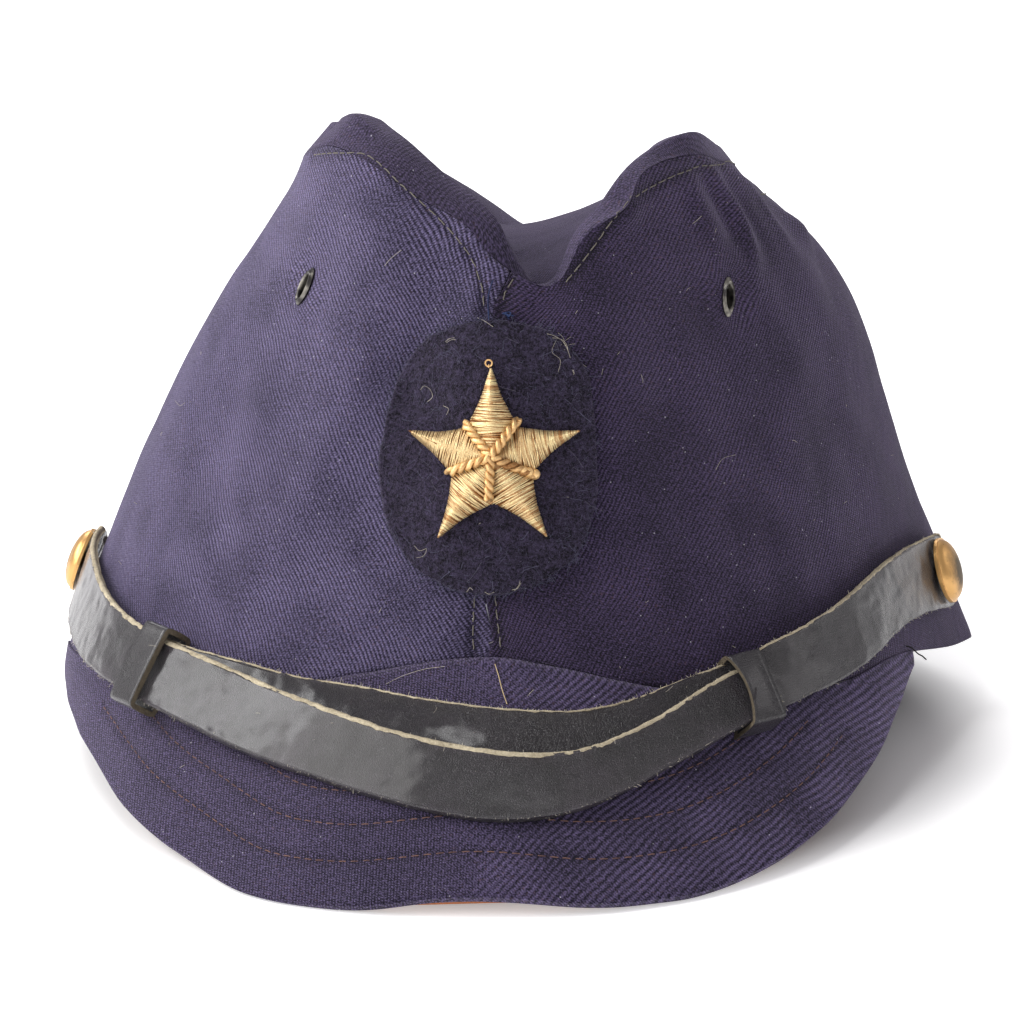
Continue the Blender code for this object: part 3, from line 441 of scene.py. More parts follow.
def raw_leather_paint(name, dark, bright):
    """The cut edge and the flesh side of the leather."""
    made = Finish(name, {"Specular IOR Level": 0.2})
    spot = made.place()
    fibre = made.noise(spot, 1.7, 4.0, 0.7)
    dirt = made.noise(spot, 0.22, 3.0, 0.6)
    tone = (fibre * 0.9 + dirt * 0.7 - 0.35).clamp()
    colour = made.mix(tone, shade(*dark), shade(*bright))
    return made.paint(colour=colour, roughness=0.9 - fibre * 0.05, relief=fibre * 0.35)


def lining_paint():
    made = Finish("lining", {"Specular IOR Level": 0.35})
    spot = made.place()
    grain = made.noise(spot, 1.2, 3.0, 0.6)
    stain = made.noise(spot, 0.05, 3.0, 0.6)
    tone = (grain * 0.4 + stain * 0.6).clamp()
    colour = made.mix(tone, shade(118, 64, 32), shade(178, 108, 60))
    return made.paint(colour=colour, roughness=0.6 + grain * 0.15, relief=grain * 0.12)


def gold_paint(name, dark, bright):
    """Gold thread: metal wire wound round a yellow core, with patches of tarnish."""
    made = Finish(name, {"Specular IOR Level": 0.5})
    spot = made.place()
    tint = made.mark("tint")
    wound = made.noise(spot, 5.0, 2.0, 0.6)
    tarnish = made.noise(spot, 0.45, 2.0, 0.6)
    tone = (tint * 0.9 + wound * 0.9 + tarnish * 0.5 - 0.60).clamp()
    colour = made.mix(tone, shade(*dark), shade(*bright))
    roughness = 0.22 + wound * 0.14 + (1 - tint) * 0.08
    metallic = 0.64 + tone * 0.1
    return made.paint(colour=colour, roughness=roughness, metallic=metallic, relief=wound * 0.12)


def brass_paint():
    """Aged brass, bright at the rim and brown where the lacquer has worn through."""
    made = Finish("brass", {"Specular IOR Level": 0.5})
    spot = made.place()
    crown = made.mark("crown")
    cloud = made.noise(spot, 0.30, 4.0, 0.65)
    speck = made.noise(spot, 1.8, 3.0, 0.7)
    old = (crown * 2.0 + cloud * 1.2 + speck * 0.3 - 1.15).clamp()
    colour = made.mix(old, shade(214, 168, 106), shade(92, 78, 56))
    pits = speck.step(0.62, 0.72)
    return made.paint(
        colour=made.mix(pits * 0.6, colour, shade(70, 50, 30)),
        roughness=0.30 + old * 0.25 + speck * 0.1,
        metallic=0.85 - old * 0.35,
        relief=speck * 0.04 + cloud * 0.10,
    )


def iron_paint():
    """Blackened metal, rubbed to a grey olive in patches."""
    made = Finish("blackened_metal", {"Specular IOR Level": 0.5})
    spot = made.place()
    rub = made.noise(spot, 0.35, 2.0, 0.5)
    tone = rub.step(0.35, 0.7)
    colour = made.mix(tone, shade(58, 56, 56), shade(164, 160, 150))
    return made.paint(colour=colour, roughness=0.24 + rub * 0.2, metallic=0.9 - tone * 0.1)


def thread_paint(name, dark, bright, rough=0.75):
    """A spun thread, with its own shade at each stitch."""
    made = Finish(name, {"Specular IOR Level": 0.3})
    spot = made.place()
    spun = made.noise(spot, 4.0, 2.0, 0.6)
    tone = (made.mark("tint") * 0.6 + spun * 0.6 - 0.1).clamp()
    return made.paint(colour=made.mix(tone, shade(*dark), shade(*bright)), roughness=rough - spun * 0.1)


# Each wool's turn in degrees, the width of its ribs in millimetres and their strength, its deep and
# light shades, and for the visor where the ribs begin and where they are full, in millimetres.
TWILLS = {
    # One cloth: the left panel's shades hold painted light and the right's painted shade.
    "wool_left": (117.0, 0.84, 1.0, (15, 11, 30), (131, 121, 163)),
    "wool_right": (63.0, 0.84, 0.7, (11, 7, 20), (100, 84, 126)),
    "wool_top": (52.0, 0.8, 0.35, (14, 10, 24), (104, 90, 130)),
    "wool_visor": (47.0, 1.35, 0.9, (13, 10, 25), (122, 108, 152), (-14.0, 22.0)),
}
# Each leather's roughness, and how grey its rubbed places are.
LEATHERS = {"leather_front": (0.22, 0.55), "leather_back": (0.17, 0.30)}
# The deep and light shades of each of the others, and the roughness of some threads.
RAW_EDGES = {
    "raw_leather": ((92, 78, 60), (232, 220, 190)),
    "keeper_edge": ((34, 30, 28), (132, 120, 100)),
}
GOLDS = {
    "gold": ((172, 110, 50), (255, 240, 188)),
    "gold_cord": ((142, 96, 52), (255, 214, 152)),
    # The deep gold is painted shade: dark padding that shows in the hollows between the threads.
    "gold_deep": ((84, 50, 20), (150, 98, 42)),
}
THREADS = {
    "felt_hair": ((30, 30, 44), (104, 104, 128), 0.9),
    "felt_curl": ((54, 52, 68), (112, 108, 124), 0.9),
    "lint": ((120, 114, 108), (214, 206, 190), 0.9),
    "olive_thread": ((72, 69, 68), (126, 120, 108)),
    "brown_thread": ((74, 52, 50), (122, 92, 84)),
    "tan_thread": ((140, 118, 84), (204, 184, 146)),
    "black_thread": ((18, 17, 20), (62, 58, 62)),
    "blue_thread": ((18, 24, 56), (50, 70, 116)),
}
FINISHES = {"felt": felt_paint(), "lining": lining_paint(), "brass": brass_paint(), "iron": iron_paint()}
PAINTS = [twill, leather_paint, raw_leather_paint, gold_paint, thread_paint]
for paint, rows in zip(PAINTS, [TWILLS, LEATHERS, RAW_EDGES, GOLDS, THREADS]):
    FINISHES.update({name: paint(name, *row) for name, row in rows.items()})


# Shapes


def mesh_from(shape, name):
    mesh = bpy.data.meshes.new(name)
    shape.to_mesh(mesh)
    shape.free()
    return mesh


def add_object(name, data, materials=()):
    """An object at the origin for a mesh, a curve, a light or a camera."""
    piece = bpy.data.objects.new(name, data)
    bpy.context.scene.collection.objects.link(piece)
    for material in materials:
        data.materials.append(material)
    return piece


def finished_mesh(piece):
    """A smooth mesh of what an object shows, in the object's place."""
    graph = bpy.context.evaluated_depsgraph_get()
    mesh = bpy.data.meshes.new_from_object(piece.evaluated_get(graph))
    mesh.name = piece.name
    bpy.data.objects.remove(piece)
    mesh.shade_smooth()
    return mesh


def show(name, mesh, looks, slot, *nodes):
    """A piece of the cap: its finishes, a slot that is not used, and the CAD nodes that it replaces."""
    piece = add_object(name, mesh, [FINISHES[look] for look in looks])
    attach(piece, "root")
    if nodes:
        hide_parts(*nodes)


def node_shape(node):
    """A merged copy of a CAD node, in quads where its triangles make them."""
    shape = bmesh.new()
    shape.from_mesh(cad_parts[node].data)
    bmesh.ops.remove_doubles(shape, verts=shape.verts, dist=MERGE_REACH)
    bmesh.ops.join_triangles(
        shape, faces=shape.faces, angle_face_threshold=QUAD_BEND, angle_shape_threshold=QUAD_SKEW
    )
    shape.normal_update()
    return shape


def skins(shape):
    """The shape's faces in smooth regions, from the largest to the smallest."""
    sharp = math.radians(BEND)
    left = dict.fromkeys(shape.faces)
    regions = []
    while left:
        region = [left.popitem()[0]]
        for face in region:
            for edge in face.edges:
                if edge.calc_face_angle(math.pi) > sharp:
                    continue
                for other in edge.link_faces:
                    if other in left:
                        del left[other]
                        region.append(other)
        regions.append(region)
    return sorted(regions, key=lambda region: -sum(face.calc_area() for face in region))


def outwardness(region):
    """Above 0 where a region's faces turn away from the middle of the head."""
    centre = REST @ HEAD
    return sum((face.calc_center_median() - centre).dot(face.normal) * face.calc_area() for face in region)


def outer_skin(shape):
    """The one of the two largest regions that turns away from the head."""
    return max(skins(shape)[:2], key=outwardness)


def border_loop(region):
    """The points round a region's border, in order from the one that lies lowest along X."""
    inside = set(region)
    ahead = {}
    for face in region:
        for loop in face.loops:
            if sum(other in inside for other in loop.edge.link_faces) == 1:
                ahead[loop.vert] = loop.link_loop_next.vert
    longest = []
    while ahead:
        vert, following = ahead.popitem()
        trip = [vert.co.copy()]
        while following in ahead:
            trip.append(following.co.copy())
            following = ahead.pop(following)
        longest = max(longest, trip, key=len)
    first = longest.index(min(longest, key=tuple))
    return longest[first:] + longest[:first]


def smooth_copy(name, node, levels, bend=BEND, skin=True):
    """A node's shape with its faces subdivided and its sharp edges kept.

    The outer skin takes the first material, and every other region the second.
    """
    shape = node_shape(node)
    outer = set(outer_skin(shape)) if skin else set(shape.faces)
    for face in shape.faces:
        face.material_index = 0 if face in outer else 1
    held = shape.edges.layers.float.new("crease_edge")
    for edge in shape.edges:
        if edge.calc_face_angle(math.pi) > math.radians(bend):
            edge[held] = 1.0
    piece = add_object(name, mesh_from(shape, name))
    finer = piece.modifiers.new("finer", "SUBSURF")
    finer.levels = levels
    mesh = finished_mesh(piece)
    mesh.set_sharp_from_angle(angle=math.radians(bend + BEND_MARGIN))
    return mesh


def lay_cloth(mesh, spread):
    """Writes the cloth map: spread gives millimetres across and up from a place on the rim's frame."""
    layer = mesh.uv_layers.new(name="cloth")
    places = [spread(TO_RIM @ vert.co) for vert in mesh.vertices]
    for loop in mesh.loops:
        layer.data[loop.index].uv = places[loop.vertex_index]


def set_mark(mesh, name, values):
    layer = mesh.attributes.new(name, "FLOAT", "POINT")
    layer.data.foreach_set("value", values)


def tree_of(points):
    tree = KDTree(len(points))
    for number, point in enumerate(points):
        tree.insert(point, number)
    tree.balance()
    return tree


def near_points(mesh, points, width):
    """For each of a mesh's points, how near it lies to some others: 1 on one, 0 far from all."""
    tree = tree_of(points)
    return [math.exp(-((tree.find(vert.co)[2] / width) ** 2)) for vert in mesh.vertices]


def near_rows(mesh, rows, width):
    return near_points(mesh, [point for row in rows for point in even_path(row, ROW_STEP)], width)


def surface_of(*meshes):
    """A tree of the meshes' outer skins, to find places on."""
    verts = []
    faces = []
    for mesh in meshes:
        base = len(verts)
        verts += [vert.co.copy() for vert in mesh.vertices]
        faces += [
            [base + index for index in face.vertices] for face in mesh.polygons if face.material_index == 0
        ]
    return BVHTree.FromPolygons(verts, faces)


def seen(surface, column, row):
    """The point and normal of a surface behind a place in the picture."""
    right, up, forward, place = camera_axes()
    ray = forward * FOCAL + right * (column - PICTURE / 2) - up * (row - PICTURE / 2)
    start = REST @ place
    hit = surface.ray_cast(start, REST.to_3x3() @ ray.normalized())
    return hit[0], hit[1]


def seen_path(surface, spots, proud=0.0):
    """The points of a surface behind places in the picture, raised a little off it."""
    hits = [seen(surface, *spot) for spot in spots]
    return [spot + normal * proud for spot, normal in hits if spot]


def even_path(points, spacing):
    """Points an even distance apart along a path."""
    path = [points[0]]
    left = spacing
    for start, end in zip(points, points[1:]):
        run = (end - start).length
        at = left
        while at <= run:
            path.append(start.lerp(end, at / run))
            at += spacing
        left = at - run
    return path


def curved_path(points, steps=6):
    """A smooth path through a few points."""
    path = []
    ends = [points[0] * 2 - points[1], *points, points[-1] * 2 - points[-2]]
    for before, start, end, after in zip(ends, ends[1:], ends[2:], ends[3:]):
        for step in range(steps):
            share = step / steps
            bend = before * 2 - start * 5 + end * 4 - after
            sway = start * 3 - before - end * 3 + after
            path.append((start * 2 + (end - before) * share + bend * share**2 + sway * share**3) * 0.5)
    path.append(points[-1])
    return path


def show_threads(name, paths, radius, look, slot, *nodes, sides=1):
    """A piece made of round threads along paths, each thread with its own tint."""
    curve = bpy.data.curves.new(name, "CURVE")
    curve.dimensions = "3D"
    curve.bevel_depth = radius
    curve.bevel_resolution = sides
    curve.use_fill_caps = True
    for path in paths:
        spline = curve.splines.new("POLY")
        spline.points.add(len(path) - 1)
        for knot, point in zip(spline.points, path):
            knot.co = (*point, 1.0)
    mesh = finished_mesh(add_object(name, curve))
    ring = 4 + 2 * sides
    tints = []
    for path in paths:
        tints += [chance.random()] * (len(path) * ring)
    tints += [0.5] * (len(mesh.vertices) - len(tints))
    set_mark(mesh, "tint", tints[: len(mesh.vertices)])
    show(name, mesh, [look], slot, *nodes)


def stitches(surface, rows, length, gap, radius):
    """Short arcs of thread along rows on a surface, one for each stitch."""
    step = round(length / STITCH_STEP)
    rest = round(gap / STITCH_STEP)
    made = []
    for row in rows:
        dense = even_path(row, STITCH_STEP)
        for at in range(0, len(dense) - step, step + rest):
            arc = []
            for part in range(5):
                spot, normal = surface.find_nearest(dense[at + round(step * part / 4)])[:2]
                rise = math.sin(math.pi * part / 4) * (1 + STITCH_SINK) - STITCH_SINK
                wobble = chance.uniform(-0.08, 0.08) * MM
                arc.append(spot + normal * radius * rise + Vector((wobble, wobble, 0.0)))
            made.append(arc)
    return made


def neighbours(path):
    """Each point of a closed path between the points before and after it."""
    return zip(path[-1:] + path, path, path[1:] + path[:1])


def eased(path, rounds):
    """A closed path with its corners eased."""
    for _ in range(rounds):
        path = [(before + point * 2 + after) / 4 for before, point, after in neighbours(path)]
    return path


def inner_row(surface, path, depth, toward):
    """A row of places on a surface, a distance in from a closed path and towards a point."""
    row = []
    for before, point, after in neighbours(path):
        spot, normal = surface.find_nearest(point)[:2]
        side = (after - before).cross(normal).normalized()
        if side.dot(toward - point) < 0:
            side.negate()
        for _ in range(3):
            spot = surface.find_nearest(spot + side * depth / 3)[0]
        row.append(spot)
    return row


def jitter(spread):
    """A step some way off in any direction."""
    return Vector([chance.gauss(0, spread) for _ in range(3)])


def hair_paths(faces, number, length, lift):
    """Short curling hairs that start on some of a mesh's faces."""
    chosen = chance.choices(faces, weights=[face.area for face in faces], k=number)
    paths = []
    for face in chosen:
        root = face.center.copy()
        along = jitter(1)
        along = (along - along.dot(face.normal) * face.normal * (1 - lift)).normalized()
        curl = jitter(0.5)
        reach = length * MM * chance.uniform(0.5, 1.4)
        paths.append([root + (along * part + curl * part * part) * reach for part in (0, 0.34, 0.67, 1)])
    return paths


# Places in the picture, as column and row

# Where the cloth is drawn aside: a place, the reach, and the shift right and up, in millimetres.
PULLS = [
    ((507, 222), 9.0, (-2.6, -2.4)),
    ((610, 200), 6.0, (3.0, -1.2)),
    ((799, 231), 5.0, (1.6, 1.1)),
    ((822, 262), 6.0, (-1.0, -0.6)),
    ((531, 270), 9.0, (3.2, -3.6)),
    ((502, 236), 8.0, (-2.8, -0.5)),
    ((480, 640), 7.0, (2.4, 0.0)),
    ((502, 300), 7.0, (-2.2, 0.0)),
    ((455, 232), 8.0, (1.6, 2.0)),
    ((395, 180), 7.0, (0.6, 1.2)),
    ((360, 120), 5.0, (0.4, 1.4)),
    ((331, 124), 4.0, (0.9, -0.7)),
]
# Folds in the crown: a path, and its height and width in millimetres.
FOLDS = [
    ([(700, 158), (712, 173), (731, 203), (751, 244), (755, 275)], 1.5, 2.3),
    ([(697, 172), (708, 185), (725, 215), (743, 252)], -1.3, 2.6),
    ([(690, 175), (701, 209), (714, 238), (722, 262)], 1.2, 3.0),
    ([(719, 162), (748, 188), (775, 224), (795, 255)], 1.2, 3.0),
    ([(716, 172), (740, 198), (762, 236), (772, 265)], -0.9, 2.8),
    ([(436, 208), (464, 240), (482, 280), (487, 315)], 0.9, 3.6),
    ([(390, 190), (394, 240), (400, 330), (396, 380)], 1.0, 8.0),
    ([(500, 270), (440, 300), (388, 390), (345, 480), (290, 590)], -0.8, 7.0),
    ([(515, 320), (535, 310), (560, 300)], -0.7, 3.0),
    ([(640, 300), (668, 400), (676, 500), (670, 590)], -0.7, 8.0),
    ([(800, 300), (790, 400), (800, 480)], 0.7, 8.0),
    ([(250, 330), (222, 430), (205, 520)], -0.7, 8.0),
]
# The blue thread that shows in the front seam, its knot, and rows of stitches on the crown.
SEAM_SHOWS = [(493, 280), (489, 292), (488, 304), (489, 321)]
BLUE_KNOT = (508, 315)
STITCH_ROWS = [
    [(300, 163), (313, 155), (343, 153), (370, 157), (405, 188), (440, 220), (467, 252)]
    + [(482, 288), (483, 314)],
    [(513, 279), (505, 293), (502, 310)],
    [(566, 282), (590, 252), (625, 205), (655, 185), (690, 170), (715, 165), (735, 166)],
    [(474, 598), (473, 630), (474, 657)],
    [(495, 596), (498, 625), (502, 655)],
]
# The star: its middle, its tips, the ends of its cords, the wire ring over it, and the knobs at the
# end of one cord with their radii in millimetres.
STAR_MIDDLE = (491, 457)
STAR_TIPS = [(489, 367), (583, 433), (547, 540), (435, 540), (411, 437)]
STAR_CORDS = [(466, 424), (518, 420), (533, 474), (489, 499), (450, 472)]
STAR_RING = (489, 363)
STAR_KNOBS = [((529, 472), 1.05), ((535, 474), 1.15), ((524, 470), 0.9)]
# The tilt of each eyelet's long way in degrees, and how much narrower and taller it is pressed.
EYELETS = {"left": (38.0, 0.55, 1.1), "right": (12.0, 0.48, 1.1)}
# Stray hairs, the loose thread under the visor, and the stitch in the right keeper.
CURLS = [
    [(421, 390), (425, 386), (431, 390), (433, 397), (428, 402)],
    [(444, 406), (449, 409), (447, 415)],
    [(415, 546), (420, 551), (427, 549), (424, 556), (417, 558)],
    [(385, 266), (392, 258), (402, 250)],
    [(715, 470), (722, 459), (735, 455)],
    [(176, 401), (181, 406), (186, 403)],
    [(556, 340), (552, 352), (560, 360), (558, 372)],
    [(386, 685), (402, 677), (424, 670), (445, 667)],
    [(478, 318), (486, 322), (493, 327)],
    [(547, 334), (554, 336), (562, 341), (567, 349), (570, 358)],
    [(552, 338), (560, 339), (566, 344), (568, 352)],
    [(558, 333), (563, 338), (565, 346)],
    [(561, 345), (566, 340), (571, 337)],
    [(564, 350), (569, 345), (575, 344)],
    [(572, 370), (573, 372), (574, 374)],
    [(573, 370), (574, 373), (573, 375)],
    [(446, 342), (450, 339), (455, 338)],
    [(447, 343), (452, 340), (456, 340)],
    [(512, 590), (516, 589), (519, 585), (520, 581)],
    [(514, 591), (518, 588), (521, 583)],
    [(467, 592), (470, 588), (473, 590)],
    [(485, 592), (489, 594), (494, 592)],
]
LOOSE_THREAD = [(495, 665), (499, 678), (502, 690), (507, 705)]
KEEPER_STITCH = [(756, 688), (755, 698), (754, 709)]
# The right keeper in the picture: the strap's rise there in degrees, its width, how far its open
# side bends, how far its foot stands back, the share of that on its other side, and its height's share.
KEEPER_RISE = 23.0
KEEPER_WIDTH = 8.0 * MM
KEEPER_BOW = 3.4 * MM
KEEPER_LEAN = 2.9 * MM
KEEPER_STAYS = 0.3
KEEPER_SNUG = 0.84
# Each ply's finish, and the radius of its raw upper edge in millimetres.
PLIES = {"left": ("leather_front", 0.58), "right": ("leather_back", 0.26)}
# The dark thread that hangs free at the rear: where it starts, and its steps right and down from there.
REAR_THREAD = (906, 646)
REAR_STEPS = [(0.0, 0.0), (1.2, 0.4), (2.5, 1.6), (3.4, 2.1), (4.3, 2.9)]


# Cloth


def around(spot, side):
    """Millimetres round the rim and up the side, for a place in the rim's frame."""
    turn = abs(math.atan2(spot.x, -spot.y)) * side if spot.y > 0 else math.atan2(spot.x, -spot.y)
    return math.hypot(spot.x, spot.y) * turn / MM, spot.z * SIDE_SLANT / MM


def raise_folds(mesh, folds):
    """Lifts and sinks a mesh along folds: each has a path, a height and a width."""
    trees = []
    for path, height, width in folds:
        dense = even_path(curved_path(path), 1.0 * MM)
        trees.append((tree_of(dense), len(dense) - 1, height * MM, width * MM))
    normals = [vert.normal.copy() for vert in mesh.vertices]
    for vert, normal in zip(mesh.vertices, normals):
        lift = 0.0
        for tree, last, height, width in trees:
            _, number, away = tree.find(vert.co)
            if away < width * FOLD_FADES:
                fade = math.sin(math.pi * (FOLD_ENDS + (1 - 2 * FOLD_ENDS) * number / last))
                lift += height * fade * math.exp(-(away / width) ** 2)
        if lift:
            vert.co += normal * lift


def ruffle(mesh, height, scale, grooves=None, depth=0.0):
    """Small soft unevenness, and the dip that stitches pull."""
    normals = [vert.normal.copy() for vert in mesh.vertices]
    for number, (vert, normal) in enumerate(zip(mesh.vertices, normals)):
        lift = noise.noise(vert.co * scale) * height
        if grooves:
            lift -= grooves[number] * depth
        vert.co += normal * lift


def pull_cloth(meshes):
    """Draws the cloth aside round a few places, as the real one lies."""
    surface = surface_of(*meshes)
    right, up = picture_axes()
    pulls = []
    for spot, reach, (across, rise) in PULLS:
        pulls.append((seen(surface, *spot)[0], reach * MM, (right * across + up * rise) * MM))
    for mesh in meshes:
        for vert in mesh.vertices:
            start = vert.co.copy()
            for middle, reach, shift in pulls:
                away = (start - middle).length / reach
                if away < PULL_FADES:
                    vert.co += shift * math.exp(-away * away)


def close_seam(mesh, sign):
    """Brings a side panel's front edge up to its neighbour's."""
    for vert in mesh.vertices:
        spot = TO_RIM @ vert.co
        if spot.y < 0:
            vert.co.x -= sign * SEAM_SHIFT * math.exp(-((spot.x / SEAM_REACH) ** 2))


def meet(mesh, surface, reach):
    """Draws a panel's edge close up to its neighbours."""
    for vert in mesh.vertices:
        spot, _, _, gap = surface.find_nearest(vert.co)
        if gap < reach:
            vert.co += (spot - vert.co) * MEETS * (1 - gap / reach)


def outer_loop(node):
    shape = node_shape(node)
    loop = border_loop(outer_skin(shape))
    shape.free()
    return loop


def add_crown():
    panels = {side: smooth_copy("wool_side_" + side, "crown_side_" + side, 3) for side in SIDES}
    top = smooth_copy("wool_top", "crown_top", 3)
    for side, sign in SIDES.items():
        lay_cloth(panels[side], lambda spot, sign=sign: around(spot, sign))
        close_seam(panels[side], sign)
    lay_cloth(top, lambda spot: (spot.x / MM, spot.y / MM))
    sides = list(panels.values())
    pull_cloth([*sides, top])
    surface = surface_of(*sides)
    folds = [(seen_path(surface, path), height, width) for path, height, width in FOLDS]
    crown = [*sides, top]
    for mesh in sides:
        raise_folds(mesh, folds)
    shown = surface_of(*crown)
    surface = surface_of(*sides)
    seam = eased(even_path(outer_loop("crown_top"), LOOP_STEP), 3)
    below = eased(inner_row(surface, seam, SEAM_DEPTH, FAR_BELOW), 6)
    rows = runs_of(below, [(TO_RIM @ spot).y > UNSEEN_FROM for spot in below])
    rows += [curved_path(seen_path(shown, spots)) for spots in STITCH_ROWS]
    edges = [outer_loop("crown_side_" + side) for side in SIDES]
    for side, mesh in panels.items():
        # The rows dip the cloth, and darken the twill's colour with painted shade.
        groove_and_shade = near_rows(mesh, rows, 1.2 * MM)
        ruffle(mesh, 0.35 * MM, 90.0, groove_and_shade, 0.25 * MM)
        # Painted shade along the panel's edges, where it meets its neighbours.
        fold = near_rows(mesh, edges, 0.7 * MM)
        set_mark(mesh, "groove_and_shade", [max(row, EDGE_SHADE * crease) for row, crease in zip(groove_and_shade, fold)])
        crush(mesh, middle_of(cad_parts["eyelet_" + side].data), EYELETS[side], VENT_REACH)
        show("wool_side_" + side, mesh, ["wool_" + side] * 2, "navy_twill", "crown_side_" + side)
    ruffle(top, 0.5 * MM, 70.0)
    meet(top, surface_of(*sides), MEET_REACH)
    # Painted shade along the top panel's seam.
    set_mark(top, "groove_and_shade", [EDGE_SHADE * share for share in near_points(top, seam, 0.8 * MM)])
    show("wool_top", top, ["wool_top"] * 2, "navy_twill", "crown_top")
    surface = surface_of(*crown)
    made = stitches(surface, rows, *CROWN_STITCH)
    show_threads("crown_stitches", made, CROWN_STITCH[2], "olive_thread", "navy_twill")
    knot, normal = seen(surface, *BLUE_KNOT)
    tangle = [knot + (normal * 0.4 + jitter(0.45)) * MM for _ in range(12)]
    paths = [curved_path(seen_path(surface, SEAM_SHOWS)), curved_path(tangle)]
    show_threads("blue_thread", paths, CROWN_STITCH[2], "blue_thread", "navy_twill")


def add_visor():
    mesh = smooth_copy("wool_visor", "visor", 3)
    lay_cloth(mesh, lambda spot: (spot.x / MM, (spot.z + spot.y * 0.2) / MM))
    surface = surface_of(mesh)
    loop = eased(even_path(outer_loop("visor"), LOOP_STEP), 2)
    rows = []
    for depth in VISOR_ROWS:
        row = inner_row(surface, loop, depth * MM, REST @ UNDER_CROWN)
        rows += visor_runs(eased(row, 5), loop)
    # The rows dip the cloth, and with the edge by the crown they darken the twill's colour with painted
    # shade.
    groove_and_shade = near_rows(mesh, rows, 1.0 * MM)
    ruffle(mesh, 0.25 * MM, 80.0, groove_and_shade, 0.15 * MM)
    hem = near_rows(mesh, [outer_loop("crown_side_" + side) for side in SIDES], 1.3 * MM)
    rise = REST.to_3x3() @ Vector((0.0, 0.0, HEM_RISE))
    for vert, share in zip(mesh.vertices, hem):
        vert.co += rise * share
    set_mark(mesh, "groove_and_shade", [max(ROW_SHADE * row, HEM_SHADE * share) for row, share in zip(groove_and_shade, hem)])
    show("wool_visor", mesh, ["wool_visor"] * 2, "navy_twill", "visor")
    made = stitches(surface_of(mesh), rows, *VISOR_STITCH)
    show_threads("visor_stitches", made, VISOR_STITCH[2], "brown_thread", "navy_twill")
    lining = smooth_copy("visor_facing", "visor_lining", 2)
    show("visor_facing", lining, ["lining"] * 2, "tan_lining", "visor_lining")


def visor_runs(row, loop):
    """The stretches of a row that lie on the visor, in front of the crown."""
    kept = [rim_share(spot) > ROW_CLEAR and rim_share(edge) > EDGE_CLEAR for spot, edge in zip(row, loop)]
    return [run for run in runs_of(row, kept) if len(run) > 8]


def rim_share(spot):
    """How far out a place lies, as a share of the rim."""
    flat = TO_RIM @ spot
    return math.hypot(flat.x / RIM_HALF_WIDTH, flat.y / RIM_HALF_LENGTH)


def runs_of(row, kept):
    """The stretches of a closed row whose places are kept."""
    first = next(number for number in range(len(row)) if not kept[number])
    runs = [[]]
    for spot, stays in zip(row[first:] + row[:first], kept[first:] + kept[:first]):
        if stays:
            runs[-1].append(spot)
        elif runs[-1]:
            runs.append([])
    return [run for run in runs if len(run) > 2]


# Badge


def add_badge():
    felt = smooth_copy("felt_patch", "badge_patch", 3, skin=False)
    ruffle(felt, 0.35 * MM, 260.0)
    show("felt_patch", felt, ["felt"], "black_felt", "badge_patch")
    out = REST.to_3x3() @ Vector((0.0, -1.0, 0.1)).normalized()
    faces = [face for face in felt.polygons if face.normal.dot(out) > FELT_FACES]
    rim = [face for face in faces if face.normal.dot(out) < FELT_RIM]
    fuzz = hair_paths(faces, *FACE_FUZZ) + hair_paths(rim, *RIM_FUZZ)
    show_threads("felt_fuzz", fuzz, 0.035 * MM, "felt_hair", "black_felt", sides=0)
    curls = hair_paths(faces, *LONG_CURLS)
    show_threads("felt_curls", curls, 0.03 * MM, "felt_curl", "black_felt", sides=0)
    add_star(felt)


def add_star(felt):
    base = smooth_copy("star_padding", "star", 3, skin=False)
    badge = surface_of(felt, base)
    out = (REST.to_3x3() @ Vector((0.0, -1.0, 0.03))).normalized()
    centre = seen(badge, *STAR_MIDDLE)[0]
    valleys = [seen(badge, *spot)[0] for spot in STAR_CORDS]
    tips = [seen(badge, *spot)[0] for spot in STAR_TIPS]
    slim_arms(base, centre, tips, out)
    # The padding takes the deep gold and a low tint, as painted shade in the gaps between the threads.
    show("star_padding", base, ["gold_deep"], "gold_thread", "star")
    set_mark(base, "tint", [0.2] * len(base.vertices))
    wind_arms(surface_of(base), centre, tips, valleys, out)
    badge = surface_of(felt, base)
    lay_cords(badge, centre, valleys, out)
    add_wire(badge, tips[0], out)
    add_knobs(badge, out)


def wind_arms(surface, centre, tips, valleys, out):
    """Winds gold thread across each arm, from the star's middle to the arm's tip."""
    wraps = []
    for tip, first, second in zip(tips, valleys, valleys[1:] + valleys[:1]):
        length = (tip - centre).length
        axis = (tip - centre) / length
        across = out.cross(axis).normalized()
        bounds = [(side - centre).dot(across) / (side - centre).dot(axis) for side in (first, second)]
        along = WRAP_START
        while along < length:
            lean = across + axis * (chance.uniform(*WRAP_LEAN) + 0.06)
            reach = sorted(bound * along for bound in bounds)
            wraps += wrap(surface, centre + axis * along, lean, out, reach)
            along += chance.uniform(*WRAP_PITCH) * MM
    show_threads("star_thread", wraps, WRAP_RADIUS, "gold", "gold_thread")


def lay_cords(badge, centre, valleys, out):
    """Lays a twisted cord from the star's middle down each valley between two arms."""
    twisted = []
    for spot in valleys:
        path = []
        for step in range(25):
            start = centre.lerp(spot, 1.03 * step / 24) + out * 10 * MM
            path.append(badge.ray_cast(start, -out)[0] + out * 0.9 * MM)
        path = path[:1] + [(a + b + c) / 3 for a, b, c in zip(path, path[1:], path[2:])] + path[-1:]
        twisted += twist(path, out)
    nodes = ["star_cord_%d" % number for number in range(1, 6)]
    show_threads("star_cords", twisted, STRAND_RADIUS, "gold_cord", "gold_thread", *nodes, sides=2)


